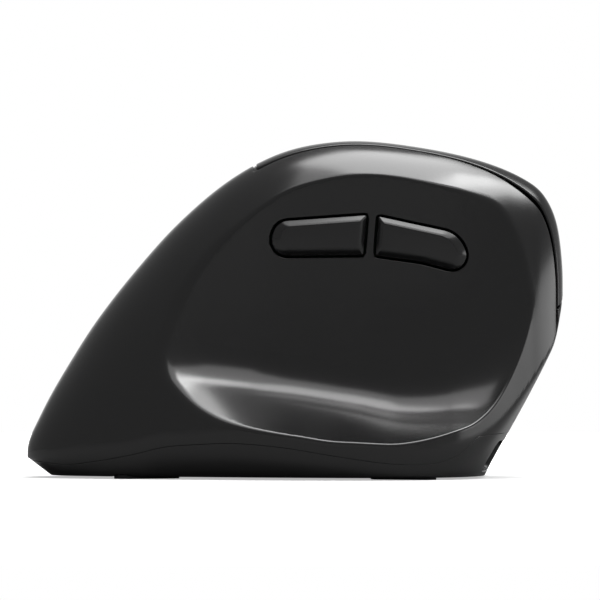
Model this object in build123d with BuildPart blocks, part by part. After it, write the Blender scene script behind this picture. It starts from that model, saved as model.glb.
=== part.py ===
from build123d import *
import math
import os

# Left-handed vertical mouse, cordless. Millimetres. +X is the nose, -Y the thumb side, +Z up.
# The origin is on the desk, under the middle of the body.

# Overall size
LENGTH = 120.0
WIDTH = 62.8
HEIGHT = 75.3

# Shells
WALL = 2.4
KEY_WALL = 1.6
POST_SINK = 0.4
FRAME_WALL = 1.5
FLOOR = 2.2
LIFT = 0.5
SEAM = 0.6
SEAM_Y = -5.0
LAP = 3.0

# Thumb buttons
THUMB_GAP = 0.45
THUMB_PROUD = 1.3
THUMB_FLANGE = 1.2
THUMB_TRAVEL = 0.7

# Scroll wheel and finger keys
WHEEL_RADIUS = 11.5
WHEEL_WIDTH = 7.0
WHEEL_PROUD = 3.5
TYRE_DEPTH = 2.4
TYRE_GROOVES = 24
GROOVE_DEPTH = 0.6
GROOVE_WIDTH = 1.1
AXLE_RADIUS = 1.2
SPINE_HALF = 5.6
DPI_LENGTH = 9.0
DPI_WIDTH = 5.0
DPI_PROUD = 0.8

# Boards, switches and fasteners
BOARD = 1.6
SWITCH_SIZE = 6.0
SWITCH_BODY = 3.6
PLUNGER_RADIUS = 1.7
PLUNGER_PROUD = 0.8
PLAY = 0.06
SCREW_RADIUS = 1.0
HEAD_RADIUS = 1.9
HEAD_HEIGHT = 1.3
SCREW_SIDES = 12
THREAD_PLAY = 0.03
SHANK_PLAY = 0.15

# Power, sensor and receiver
BATTERY_RADIUS = 7.0
BATTERY_LENGTH = 43.0
BATTERY_PLAY = 0.1
RECEIVER_WIDTH = 14.6
RECEIVER_DEPTH = 6.4
RECEIVER_LENGTH = 18.6
RECEIVER_GRIP = 7.6
PLUG_WIDTH = 12.0
PLUG_DEPTH = 4.5
PLUG_WALL = 0.4
BAY_PLAY = 0.2
BAY_WALL = 1.2
PORT_WIDTH = 9.0
PORT_HEIGHT = 3.2
PORT_LENGTH = 7.4
PORT_FIT = 0.1
RECESS_WIDTH = 14.0
RECESS_SIDE = -6.0
BEZEL_WALL = 1.0
RECESS_LOW = 1.6
RECESS_HIGH = 8.3
RECESS_BACK = 38.0
FOOT_PAD = 0.8
PAD_LENGTH = 15.0
PAD_WIDTH = 6.0
PAD_GAP = 0.3
PAD_TURN = 20.0

# The curves below are drawn on a body 120 x 62.8 x 75.3 and scaled to the size above.
HALF = 60.0
KX = LENGTH / 120.0
KY = WIDTH / 62.8
KZ = HEIGHT / 75.3


def hermite(knots, points):
    """A smooth curve through the points, its slopes taken from the neighbours."""
    values = [value for place, value in points]
    last = len(points) - 1
    slopes = []
    for i in range(last + 1):
        lo, hi = max(i - 1, 0), min(i + 1, last)
        slopes.append((values[hi] - values[lo]) / (knots[hi] - knots[lo]))

    def at(t):
        if t <= knots[0]:
            return values[0] + slopes[0] * (t - knots[0])
        if t >= knots[-1]:
            return values[-1] + slopes[-1] * (t - knots[-1])
        i = max(k for k in range(last) if knots[k] <= t)
        step = knots[i + 1] - knots[i]
        s = (t - knots[i]) / step
        return (
            values[i] * (2 * s**3 - 3 * s**2 + 1)
            + values[i + 1] * (3 * s**2 - 2 * s**3)
            + step * (slopes[i] * (s**3 - 2 * s**2 + s) + slopes[i + 1] * (s**3 - s**2))
        )

    return at


def along(x):
    """0 at the tail, pi at the nose, so the curves can close round both ends."""
    return math.acos(max(-1.0, min(1.0, -x / HALF)))


def closing(*points):
    curve = hermite([along(x) for x, value in points], points)
    return lambda x: curve(along(x))


def plain(*points):
    return hermite([x for x, value in points], points)


# Side profile: the ridge over the top and the widest line under it
ridge = closing(
    (-60, 5.5), (-58.5, 10.9), (-56.4, 15.2), (-51.3, 24.3), (-44.4, 35.1), (-36.1, 45.8),
    (-26.4, 56.6), (-15.7, 65.8), (-5.9, 71.5), (3, 74.3), (14.2, 75.3), (27.7, 73.9),
    (41.1, 71.0), (51.5, 66.7), (55.8, 63.1), (58.7, 56.6), (59.8, 48.5), (60, 43.5),
)
middle = closing(
    (-60, 5.5), (-45, 5.5), (-20, 7), (15, 8), (30, 11), (40, 17), (48, 26), (55, 36), (60, 43.5),
)
# Half widths seen from above, on the thumb side and on the finger side
thumb_half = closing(
    (-60, 0), (-55, 8.5), (-45, 15), (-35, 19.3), (-25, 23), (-15, 26.6), (-5, 29.3), (5, 30.9),
    (15, 31.4), (25, 30.3), (35, 26), (42, 20.5), (48, 15.2), (52.2, 11.8), (55, 9.6), (58, 6), (60, 0),
)
finger_half = closing(
    (-60, 0), (-55, 10.5), (-45, 19), (-35, 24.5), (-25, 28), (-15, 30.2), (-5, 31.2), (5, 31.4),
    (15, 31), (25, 29), (35, 25.3), (42, 21), (50, 14), (55, 9.5), (58, 5.8), (60, 0),
)
FINGER_FLAT = 0.3
# Thumb scoop: height of the hollow's back line, depth of its wall and the wall's lean
scoop_line = plain(
    (-40, 38), (-21, 37.9), (-14, 38), (5, 36.2), (16, 34.6), (28, 33.4), (38.5, 33.4), (46, 35.5), (56, 40)
)
scoop_wall = plain(
    (-40, 22.9), (-30, 17.7), (-20, 14), (-10, 11.75), (0, 11), (38, 10.9), (47, 10.4), (51, 9.9), (58, 9)
)
scoop_lean = plain(
    (-40, 2.9), (-14, 2.8), (0, 3.0), (27, 3.7), (38, 2.3), (47, 0), (52, -0.6), (58, -1)
)
SCOOP_RADIUS = 27.0
SCOOP_TURN = math.radians(65)
# Outline of the sole, from the tail round the thumb side to the nose and back
SOLE = [
    (-54, 0), (-51.5, -7), (-43.7, -12.7), (-36.3, -15.9), (-28.7, -17.6), (-21.3, -19.9),
    (-13.9, -22.3), (-2.7, -25.6), (8.5, -27.9), (19.7, -29), (27.3, -27.8), (33.2, -24),
    (38.5, -17.5), (41.5, -9), (42.2, 0), (41.3, 10), (37, 18.5), (30, 24), (20, 27.2), (8, 28.4),
    (-5, 28), (-15, 26.8), (-25, 24.4), (-35, 20.8), (-45, 15.2), (-51.5, 8),
]
chin_growth = plain((0, 0), (28, 15.0), (36, 17.1), (44, 18.1), (90, 22))
SIDE_GROWTH = 0.577
TAIL_GROWTH = 1.33
TAIL_RISE = 12.0
# Parting line between sole and housing, in the side view
parting = plain(
    (-60, 3.9), (-51, 3.1), (-43.7, 4.0), (-36.3, 5.4), (-28.7, 7.2), (-21.3, 7.8), (-13.9, 8.1),
    (-2.7, 7.2), (8.5, 5.4), (19.7, 3.8), (27.3, 3.4), (33.2, 4.3), (37, 6.1), (41, 9.6), (60, 9.8),
)


def section_point(x, angle):
    """A point of the cross section: angle 0 at the thumb, a quarter turn at the ridge."""
    c, s = math.cos(angle), math.sin(angle)
    z = middle(x) + s * (ridge(x) - middle(x))
    y = -thumb_half(x) * c if c > 0 else -finger_half(x) * c * (1 - FINGER_FLAT * s * s)
    return KY * y, KZ * z


def scoop_y(x, z):
    drop = scoop_line(x) - z
    if drop < 0:
        return -(scoop_wall(x) + scoop_lean(x) * (drop / 30) ** 2)
    if drop < SCOOP_RADIUS * math.sin(SCOOP_TURN):
        return -(scoop_wall(x) + SCOOP_RADIUS - math.sqrt(SCOOP_RADIUS**2 - drop**2))
    beyond = drop - SCOOP_RADIUS * math.sin(SCOOP_TURN)
    return -(
        scoop_wall(x) + SCOOP_RADIUS * (1 - math.cos(SCOOP_TURN)) + beyond * math.tan(SCOOP_TURN)
    )


def vault(inset, stations, steps):
    """The domed body over the sole, drawn in by the inset on every side."""
    shrink = 1 - inset / (KX * HALF)
    with BuildPart() as form:
        for i in range(stations + 1):
            x = -HALF * math.cos(math.pi * (0.02 + 0.96 * i / stations))
            centre = KZ * middle(x)
            points = []
            for k in range(steps + 1):
                y, z = section_point(x, math.pi * k / steps)
                reach = math.hypot(y, z - centre)
                part = max(0.2, 1 - inset / max(reach, 0.1))
                points.append((y * part, centre + (z - centre) * part))
            with BuildSketch(Plane.YZ.offset(KX * x * shrink)):
                with BuildLine():
                    Polyline(*points, (points[-1][0], -5), (points[0][0], -5), points[0])
                make_face()
        loft(ruled=True, clean=False)
    return form.part


def scoop(inset):
    """The thumb hollow as a cutting form, grown by the inset."""
    low, high = 2.0, 72.0
    first, last = -44.0, 58.0
    stations, steps = 9, 9
    with BuildPart() as form:
        for i in range(stations + 1):
            x = first + (last - first) * i / stations
            points = []
            for k in range(steps + 1):
                z = low + (high - low) * k / steps
                slope = (scoop_y(x, z + 0.1) - scoop_y(x, z - 0.1)) / 0.2
                points.append((KY * scoop_y(x, z) + inset * math.hypot(1, slope), KZ * z))
            with BuildSketch(Plane.YZ.offset(KX * x)):
                with BuildLine():
                    Spline(*points)
                    Polyline(points[-1], (-80 * KY, KZ * high), (-80 * KY, KZ * low), points[0])
                make_face()
        loft(ruled=True, clean=False)
    return form.part


def sole_outline(z, inset):
    """The sole's outline grown to a height: bevelled sides, a longer chin and tail."""
    chin = chin_growth(z) - 1.15 * inset
    side = SIDE_GROWTH * z - 1.2 * inset
    tail = TAIL_GROWTH * min(z, TAIL_RISE) + SIDE_GROWTH * max(0, z - TAIL_RISE) - 1.6 * inset
    outline = []
    count = len(SOLE)
    for i, (x, y) in enumerate(SOLE):
        before, after = SOLE[i - 1], SOLE[(i + 1) % count]
        nx, ny = after[1] - before[1], before[0] - after[0]
        size = math.hypot(nx, ny)
        nx, ny = nx / size, ny / size
        growth = side + (chin - side) * nx**2 if nx > 0 else side + (tail - side) * nx**4
        outline.append((KX * (x + nx * growth), KY * (y + ny * growth)))
    return outline


def foot(inset, bottom):
    """What the undercut sides and chin leave of the body."""
    with BuildPart() as form:
        for z in (bottom, 12, 28, 44, 90):
            with BuildSketch(Plane.XY.offset(KZ * z)):
                with BuildLine():
                    Polyline(*sole_outline(z, inset), close=True)
                make_face()
        loft(ruled=True, clean=False)
    return form.part


def below_parting():
    """Everything under the parting line, right through the body."""
    xs = [-70 + 5 * i for i in range(29)]
    with BuildPart() as form:
        with BuildSketch(Plane.XZ):
            with BuildLine():
                line = Spline(*[(KX * x, KZ * parting(max(-60, min(60, x)))) for x in xs])
                Polyline(line @ 1, (KX * 70, -20), (KX * -70, -20), line @ 0)
            make_face()
        extrude(amount=60 * KY, both=True)
    return form.part


def key_field(grow, start):
    """The side outline of the two finger keys, carried across the body from y = start."""
    with BuildPart() as form:
        with BuildSketch(Plane.XZ.offset(-start)) as outline:
            with BuildLine():
                Polyline(
                    (KX * -10 - grow, KZ * 85), (KX * -5.5 - grow, KZ * 27 - grow),
                    (KX * 75, KZ * 27 - grow), (KX * 75, KZ * 85), close=True,
                )
            make_face()
            fillet(outline.vertices().group_by(Axis.Y)[0].sort_by(Axis.X)[0], 8 + grow)
        extrude(amount=-60 * KY)
    return form.part


# Planes that the fingers and the thumb press on, their normals pointing out of the body
FINGER_TILT = 22.0
THUMB_TILT = 8.0
fx, fy, fz = KX * 28.0, KY * 21.0, KZ * 46.0
tx, ty, tz = KX * 16.0, KY * -12.3, KZ * 53.0
FINGER = Plane(
    (fx, fy, fz), x_dir=(1, 0, 0),
    z_dir=(0, math.cos(math.radians(FINGER_TILT)), math.sin(math.radians(FINGER_TILT))),
)
THUMB = Plane(
    (tx, ty, tz), x_dir=(1, 0, 0),
    z_dir=(0, -math.cos(math.radians(THUMB_TILT)), -math.sin(math.radians(THUMB_TILT))),
)
FINGER_AXIS = Axis(FINGER.origin, FINGER.z_dir)
THUMB_AXIS = Axis(THUMB.origin, THUMB.z_dir)

# Whole forms that the shells are cut from, the hidden faces drawn with fewer facets
SHOWN = {"stations": 18, "steps": 16}
HIDDEN = {"stations": 12, "steps": 10}
outer = (vault(0, **SHOWN) & foot(0, LIFT)) - scoop(0)
hollow = (vault(WALL, **HIDDEN) & foot(WALL, LIFT + FLOOR)) - scoop(WALL)
key_hollow = vault(KEY_WALL, **HIDDEN) & foot(KEY_WALL, LIFT)
frame_hollow = vault(WALL + FRAME_WALL, **HIDDEN) & foot(WALL + FRAME_WALL, LIFT)
post_limit = vault(KEY_WALL - POST_SINK, **HIDDEN)
shell = outer - hollow
lower = below_parting()

os.makedirs("parts", exist_ok=True)


def save(form, name):
    form.label = name
    export_step(form, f"parts/{name}.step")


def rod(plane, x, y, low, high, radius):
    """A round rod standing on a plane at (x, y), from one height to the other."""
    with BuildPart() as form:
        with BuildSketch(plane.offset(low)):
            with Locations((x, y)):
                Circle(radius)
        extrude(amount=high - low)
    return form.part


def block(plane, x, y, low, high, length, width, radius=0.0):
    """A plain or round-cornered block standing on a plane, its middle at (x, y)."""
    with BuildPart() as form:
        with BuildSketch(plane.offset(low)):
            with Locations((x, y)):
                if radius > 0:
                    RectangleRounded(length, width, radius)
                else:
                    Rectangle(length, width)
        extrude(amount=high - low)
    return form.part


def screw(plane, x, y, seat, reach):
    """A small screw: its head under the seat and its shank up to the reach."""
    with BuildPart() as form:
        with BuildSketch(plane.offset(seat)):
            with Locations((x, y)):
                RegularPolygon(SCREW_RADIUS, SCREW_SIDES)
        extrude(amount=reach - seat)
        with BuildSketch(plane.offset(seat)):
            with Locations((x, y)):
                RegularPolygon(HEAD_RADIUS, SCREW_SIDES)
        extrude(amount=-HEAD_HEIGHT)
    return form.part


def square_switch(plane, x, y, seat, name):
    """A square tactile switch on a board at height seat, and its round plunger."""
    top = seat + SWITCH_BODY
    body = block(plane, x, y, seat, top, SWITCH_SIZE, SWITCH_SIZE, 0.6)
    body -= rod(plane, x, y, top - 1.2, top, PLUNGER_RADIUS + PLAY)
    save(body, f"{name}_switch")
    save(rod(plane, x, y, top - 0.3, top + PLUNGER_PROUD, PLUNGER_RADIUS), f"{name}_plunger")
    return top + PLUNGER_PROUD


# Shared places: finger board, thumb board, main board, screws
FINGER_BOARD = -14.5
BOARD_HALF = 13.6
THUMB_BOARD = -9.3
MAIN_BOARD = 6.8
KEY_SWITCH_X, KEY_SWITCH_Y = 7.0, 10.3
DPI_X = -26.5
WHEEL_W = WHEEL_PROUD - WHEEL_RADIUS
WHEEL_X = -2.0
WHEEL_SLOT = WHEEL_RADIUS + 0.5
SPINE_BACK, SPINE_FRONT = -42.0, 14.0
FRAME_POSTS = [(-33.0, -10.0), (-33.0, 10.0), (-11.5, -11.0), (-11.5, 11.0)]
BASE_SCREWS = [(KX * x, KY * y) for x, y in [(-33, -11), (-35, 14), (24, 20.5), (24, -19.5)]]
BASE_SEAT = 2.1
BOARD_SCREW_END = 3.4
BOSS_FOOT = 5.0
BOSS_TOP = 20.0
THUMB_POSTS = (-28.5, 26.4)
THUMB_POST = 3.6

# Outlines of the two thumb buttons on the thumb plane, each corner with its round
BACK_OUTLINE = [(-23.0, -4.0, 4.0), (-20.6, 4.6, 4.0), (0.4, 6.1, 1.8), (-0.4, -3.8, 1.8)]
FORWARD_OUTLINE = [
    (1.4, -3.8, 1.8), (2.1, 5.9, 1.8), (20.4, 1.8, 4.0), (24.6, -6.4, 3.2), (12.0, -5.2, 2.0),
]


def button_outline(corners, inset):
    with BuildSketch() as outline:
        with BuildLine():
            Polyline(*[(KX * x, KZ * y) for x, y, radius in corners], close=True)
        make_face()
        for x, y, radius in corners:
            spot = Vector(KX * x, KZ * y)
            corner = outline.vertices().sort_by_distance(spot)[0]
            fillet(corner, radius * min(KX, KZ))
        offset(amount=-inset)
    return outline.sketch


def thumb_button(corners, switch_x, name, top):
    """A thumb button: bevelled cap, flange behind the wall and a post to its switch."""
    behind = -WALL - 1.0
    with BuildPart() as form:
        with BuildSketch(THUMB.offset(behind)):
            add(button_outline(corners, THUMB_GAP))
        extrude(amount=THUMB_PROUD - behind)
        chamfer(form.faces().sort_by(THUMB_AXIS)[-1].edges(), THUMB_PROUD)
        with BuildSketch(THUMB.offset(behind)):
            add(button_outline(corners, -0.5))
        extrude(amount=-THUMB_FLANGE)
        with BuildSketch(THUMB.offset(top + PLAY)):
            with Locations((switch_x, 0)):
                Circle(1.6)
        extrude(amount=behind - top - PLAY)
    save(form.part, name)


# Thumb side: two switches on a small board, the posts that carry it, and two buttons
BACK_SWITCH_X, FORWARD_SWITCH_X = KX * -10.0, KX * 11.0
thumb_top = square_switch(THUMB, BACK_SWITCH_X, 0, THUMB_BOARD, "back")
square_switch(THUMB, FORWARD_SWITCH_X, 0, THUMB_BOARD, "forward")
thumb_button(BACK_OUTLINE, BACK_SWITCH_X, "back_button", thumb_top)
thumb_button(FORWARD_OUTLINE, FORWARD_SWITCH_X, "forward_button", thumb_top)
thumb_length = KX * (THUMB_POSTS[1] - THUMB_POSTS[0]) + 2
thumb_middle = KX * (THUMB_POSTS[1] + THUMB_POSTS[0]) / 2
thumb_board = block(THUMB, thumb_middle, 0, THUMB_BOARD - BOARD, THUMB_BOARD, thumb_length, 11, 1)
for x in THUMB_POSTS:
    thumb_board -= rod(THUMB, KX * x, 0, THUMB_BOARD - 3, THUMB_BOARD + 3, SCREW_RADIUS + SHANK_PLAY)
save(thumb_board, "thumb_board")
thumb_posts = Part()
for x in THUMB_POSTS:
    thumb_posts += block(THUMB, KX * x, 0, THUMB_BOARD, 6, THUMB_POST, 7, 0.6)
thumb_posts &= hollow
for x in THUMB_POSTS:
    thumb_posts -= rod(THUMB, KX * x, 0, THUMB_BOARD - 1, THUMB_BOARD + 4, SCREW_RADIUS + THREAD_PLAY)
save(thumb_posts, "thumb_posts")
thumb_screws = Part()
for x in THUMB_POSTS:
    thumb_screws += screw(THUMB, KX * x, 0, THUMB_BOARD - BOARD, THUMB_BOARD + 3.5)
save(thumb_screws, "thumb_screws")

# Finger side: the two keys lie in the key field over a fixed frame with the wheel's spine
field = key_field(0, SEAM_Y + SEAM / 2)
spine_middle = (SPINE_BACK + SPINE_FRONT) / 2
spine_length = SPINE_FRONT - SPINE_BACK
spine = block(FINGER, spine_middle, 0, -12, 12, spine_length, 2 * SPINE_HALF, 1.5)
spine_room = block(
    FINGER, spine_middle, 0, -14, 14, spine_length + 2 * SEAM, 2 * (SPINE_HALF + SEAM), 1.5 + SEAM
)
with BuildPart() as split:
    with BuildSketch(FINGER.offset(-60)):
        with BuildLine():
            Polyline((0, SEAM / 2), (60, SEAM / 2 - 4), (60, -SEAM / 2 - 4), (0, -SEAM / 2), close=True)
        make_face()
    extrude(amount=90)
with BuildPart() as upper_side:
    with BuildSketch(FINGER.offset(-90)):
        with BuildLine():
            Polyline((-70, 0), (0, 0), (70, -4.67), (70, -90), (-70, -90), close=True)
        make_face()
    extrude(amount=150)
plates = ((outer - key_hollow) & field) - spine_room - split.part
index_key = plates & upper_side.part
middle_key = plates - upper_side.part


def key_with_post(plate, side, name):
    """A finger key with the post under it that presses its switch."""
    top = FINGER_BOARD + SWITCH_BODY + PLUNGER_PROUD + PLAY
    post = rod(FINGER, KEY_SWITCH_X, side * KEY_SWITCH_Y, top, 8, 2.0)
    post &= post_limit
    save(plate + post, name)


key_with_post(index_key, -1, "index_button")
key_with_post(middle_key, 1, "middle_button")
square_switch(FINGER, KEY_SWITCH_X, -KEY_SWITCH_Y, FINGER_BOARD, "index")
square_switch(FINGER, KEY_SWITCH_X, KEY_SWITCH_Y, FINGER_BOARD, "middle")
dpi_top = square_switch(FINGER, DPI_X, 0, FINGER_BOARD, "dpi")

frame = (hollow - frame_hollow) & key_field(LAP, SEAM_Y - LAP)
frame += (outer - frame_hollow) & spine & field
for x, y in FRAME_POSTS:
    frame += rod(FINGER, x, y, FINGER_BOARD, 12, 2.4) & hollow
for x, y in FRAME_POSTS:
    frame -= rod(FINGER, x, y, FINGER_BOARD - 1, FINGER_BOARD + 5, SCREW_RADIUS + THREAD_PLAY)
for side in (-1, 1):
    frame -= rod(FINGER, KEY_SWITCH_X, side * KEY_SWITCH_Y, -14, 8, 2.9)
frame -= block(FINGER, WHEEL_X, 0, -14, 14, 2 * WHEEL_SLOT, WHEEL_WIDTH + 1, 0.8)
frame -= block(FINGER, DPI_X, 0, -14, 14, DPI_LENGTH + 0.6, DPI_WIDTH + 0.6, DPI_WIDTH / 2)
save(frame, "finger_frame")

DPI_SURFACE = 1.8
with BuildPart() as dpi_button:
    with BuildSketch(FINGER.offset(DPI_SURFACE - 4.4)):
        with Locations((DPI_X, 0)):
            SlotOverall(DPI_LENGTH, DPI_WIDTH)
    extrude(amount=4.4 + DPI_PROUD)
    chamfer(dpi_button.faces().sort_by(FINGER_AXIS)[-1].edges(), 0.4)
    with BuildSketch(FINGER.offset(DPI_SURFACE - 5.6)):
        with Locations((DPI_X, 0)):
            SlotOverall(DPI_LENGTH + 2, DPI_WIDTH + 2)
    extrude(amount=1.2)
    with BuildSketch(FINGER.offset(dpi_top + PLAY)):
        with Locations((DPI_X, 0)):
            Circle(1.6)
    extrude(amount=DPI_SURFACE - 5.6 - dpi_top - PLAY)
save(dpi_button.part, "dpi_button")

# Scroll wheel: tyre on a spoked hub on an axle, in a carrier that rocks on a pin
SIDEWAYS = Plane(FINGER.from_local_coords((WHEEL_X, 0, WHEEL_W)), x_dir=FINGER.x_dir, z_dir=-FINGER.y_dir)
HUB_RADIUS = WHEEL_RADIUS - TYRE_DEPTH
with BuildPart() as tyre:
    with BuildSketch(SIDEWAYS.offset(-WHEEL_WIDTH / 2)):
        Circle(WHEEL_RADIUS)
        Circle(HUB_RADIUS, mode=Mode.SUBTRACT)
        with PolarLocations(WHEEL_RADIUS, TYRE_GROOVES):
            Rectangle(2 * GROOVE_DEPTH, GROOVE_WIDTH, mode=Mode.SUBTRACT)
    extrude(amount=WHEEL_WIDTH)
save(tyre.part, "wheel_tyre")
with BuildPart() as hub:
    with BuildSketch(SIDEWAYS.offset(-WHEEL_WIDTH / 2)):
        Circle(HUB_RADIUS)
        Circle(HUB_RADIUS - 1.4, mode=Mode.SUBTRACT)
        Circle(AXLE_RADIUS + 1.5)
        with PolarLocations(HUB_RADIUS / 2, 6):
            Rectangle(HUB_RADIUS - 1, 1.3)
        Circle(AXLE_RADIUS, mode=Mode.SUBTRACT)
    extrude(amount=WHEEL_WIDTH)
save(hub.part, "wheel_hub")
ARM_IN, ARM_OUT = WHEEL_WIDTH / 2 + 0.9, WHEEL_WIDTH / 2 + 2.7
ENCODER = 3.0
with BuildPart() as axle:
    with BuildSketch(SIDEWAYS.offset(-ARM_OUT - ENCODER + 0.6)):
        Circle(AXLE_RADIUS)
    extrude(amount=2 * ARM_OUT + ENCODER - 0.4)
save(axle.part, "wheel_axle")

PIN_X, PIN_W, PIN_RADIUS = WHEEL_X + WHEEL_SLOT + 2.6, -12.0, 0.7
CARRIER_LOW, CARRIER_HIGH = -11.5, -9.5
PADDLE_X = WHEEL_X - WHEEL_SLOT - 5.0
PADDLE_LOW = FINGER_BOARD + SWITCH_BODY + PLUNGER_PROUD + PLAY
SIDE_PIN = Plane(FINGER.from_local_coords((PIN_X, 0, PIN_W)), x_dir=FINGER.x_dir, z_dir=-FINGER.y_dir)
with BuildPart() as carrier:
    with BuildSketch(FINGER.offset(CARRIER_LOW)):
        with Locations((WHEEL_X, 0)):
            Rectangle(2 * WHEEL_SLOT + 3.2, 2 * ARM_OUT)
            Rectangle(2 * WHEEL_SLOT, 2 * ARM_IN, mode=Mode.SUBTRACT)
    extrude(amount=CARRIER_HIGH - CARRIER_LOW)
    with BuildSketch(FINGER.offset(PIN_W - 1.2)):
        with Locations((PIN_X - 0.9, 0)):
            with GridLocations(0, ARM_IN + ARM_OUT, 1, 2):
                Rectangle(4.4, ARM_OUT - ARM_IN)
    extrude(amount=2.4)
    with BuildSketch(FINGER.offset(PADDLE_LOW)):
        with Locations((PADDLE_X + 1, 0)):
            Rectangle(6.6, 5)
    extrude(amount=1.2)
    with BuildSketch(FINGER.offset(CARRIER_LOW)):
        with Locations((WHEEL_X, 0)):
            with GridLocations(0, ARM_IN + ARM_OUT, 1, 2):
                Rectangle(6, ARM_OUT - ARM_IN)
    extrude(amount=WHEEL_W + 2.1 - CARRIER_LOW)
    with BuildSketch(SIDEWAYS.offset(-20)):
        Circle(AXLE_RADIUS + 0.05)
    extrude(amount=40, mode=Mode.SUBTRACT)
    with BuildSketch(SIDE_PIN.offset(-20)):
        Circle(PIN_RADIUS + 0.04)
    extrude(amount=40, mode=Mode.SUBTRACT)
save(carrier.part, "wheel_carrier")
PIN_POST = ARM_OUT + 0.3
with BuildPart() as carrier_posts:
    with BuildSketch(FINGER.offset(FINGER_BOARD)):
        with Locations((PIN_X, 0)):
            with GridLocations(0, 2 * PIN_POST + 1.6, 1, 2):
                Rectangle(3.2, 1.6)
    extrude(amount=PIN_W + 1.2 - FINGER_BOARD)
    with BuildSketch(SIDE_PIN.offset(-20)):
        Circle(PIN_RADIUS)
    extrude(amount=40, mode=Mode.SUBTRACT)
save(carrier_posts.part, "carrier_posts")
with BuildPart() as carrier_pin:
    with BuildSketch(SIDE_PIN.offset(-PIN_POST - 1.6)):
        Circle(PIN_RADIUS)
    extrude(amount=2 * PIN_POST + 3.2)
save(carrier_pin.part, "carrier_pin")
with BuildPart() as encoder:
    with BuildSketch(SIDEWAYS.offset(-ARM_OUT - ENCODER)):
        with Locations((-1.4, -1.5)):
            RectangleRounded(8, 6.8, 0.6)
        Circle(AXLE_RADIUS + 0.05, mode=Mode.SUBTRACT)
    extrude(amount=ENCODER)
save(encoder.part, "wheel_encoder")
square_switch(FINGER, PADDLE_X, 0, FINGER_BOARD, "wheel")

with BuildPart() as finger_board:
    with BuildSketch(FINGER.offset(FINGER_BOARD - BOARD)):
        with BuildLine():
            Polyline(
                (-36, -BOARD_HALF), (13, -BOARD_HALF), (17, -8.5), (17, 8.5), (13, BOARD_HALF),
                (-36, BOARD_HALF), close=True,
            )
        make_face()
        with Locations((WHEEL_X, 0)):
            Rectangle(21, WHEEL_WIDTH + 2, mode=Mode.SUBTRACT)
        with Locations(*FRAME_POSTS):
            Circle(SCREW_RADIUS + SHANK_PLAY, mode=Mode.SUBTRACT)
    extrude(amount=BOARD)
save(finger_board.part, "finger_board")
frame_screws = Part()
for x, y in FRAME_POSTS:
    frame_screws += screw(FINGER, x, y, FINGER_BOARD - BOARD, FINGER_BOARD + 4.5)
save(frame_screws, "frame_screws")

# Housing: everything above the parting line but the key field, with bosses for the sole's screws
housing = (shell - lower) - key_field(SEAM, SEAM_Y - SEAM / 2)
for x, y in BASE_SCREWS:
    boss = rod(Plane.XY, x, y, BOSS_FOOT, BOSS_TOP, 2.8)
    boss += block(Plane.XY, x, y + math.copysign(6, y), BOSS_FOOT, BOSS_TOP, 1.6, 12)
    housing += boss & hollow
for x, y in BASE_SCREWS:
    housing -= rod(Plane.XY, x, y, 0, BOSS_FOOT + 4, SCREW_RADIUS + THREAD_PLAY)
for corners in (BACK_OUTLINE, FORWARD_OUTLINE):
    with BuildPart() as opening:
        with BuildSketch(THUMB.offset(-6)):
            add(button_outline(corners, 0))
        extrude(amount=12)
    housing -= opening.part
RECESS_ROUND = 1.5
SPAN = RECESS_HIGH - RECESS_LOW
recess_plane = Plane.YZ.offset(KX * RECESS_BACK)
recess_y, recess_z = KY * RECESS_SIDE, (RECESS_HIGH + RECESS_LOW) / 2
recess = block(recess_plane, recess_y, recess_z, 0, 60, RECESS_WIDTH, SPAN, RECESS_ROUND)
housing -= recess
save(housing, "main_housing")

# Sole: the lower shell with board posts, receiver bay, sensor window and switch slot
BAY_X, BAY_Y = KX * -20.0, KY * 16.5
BAY_TOP = RECEIVER_LENGTH + LIFT + 1.0
SENSOR_X = KX * 2.0
SLIDER_X, SLIDER_Y = KX * 20.0, KY * -8.5
BOARD_POSTS = [(KX * x, KY * y) for x, y in [(-1, -12.5), (-1, 12.5), (27.3, -12.7), (30, 12.5)]]
sole = (shell & lower) - recess
for x, y in BASE_SCREWS:
    sole += rod(Plane.XY, x, y, LIFT, BOSS_FOOT, 3.4)
for x, y in BOARD_POSTS:
    sole += rod(Plane.XY, x, y, LIFT + 0.5, MAIN_BOARD, 2.4)
sole += block(
    Plane.XY, BAY_X, BAY_Y, LIFT, BAY_TOP + BAY_WALL,
    RECEIVER_WIDTH + 2 * (BAY_PLAY + BAY_WALL), RECEIVER_DEPTH + 2 * (BAY_PLAY + BAY_WALL), 1.5,
)
sole -= block(
    Plane.XY, BAY_X, BAY_Y, -1, BAY_TOP, RECEIVER_WIDTH + 2 * BAY_PLAY, RECEIVER_DEPTH + 2 * BAY_PLAY, 1.2
)


def pad_shapes(grow):
    """The four oblong glide pads, turned to follow the sole's outline, or their beds."""
    with BuildPart() as form:
        with BuildSketch():
            for x, y in BASE_SCREWS:
                with Locations((x, y)):
                    turn = math.copysign(PAD_TURN, x * y)
                    SlotOverall(PAD_LENGTH + 2 * grow, PAD_WIDTH + 2 * grow, rotation=turn)
        extrude(amount=FOOT_PAD)
    return form.part


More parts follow.
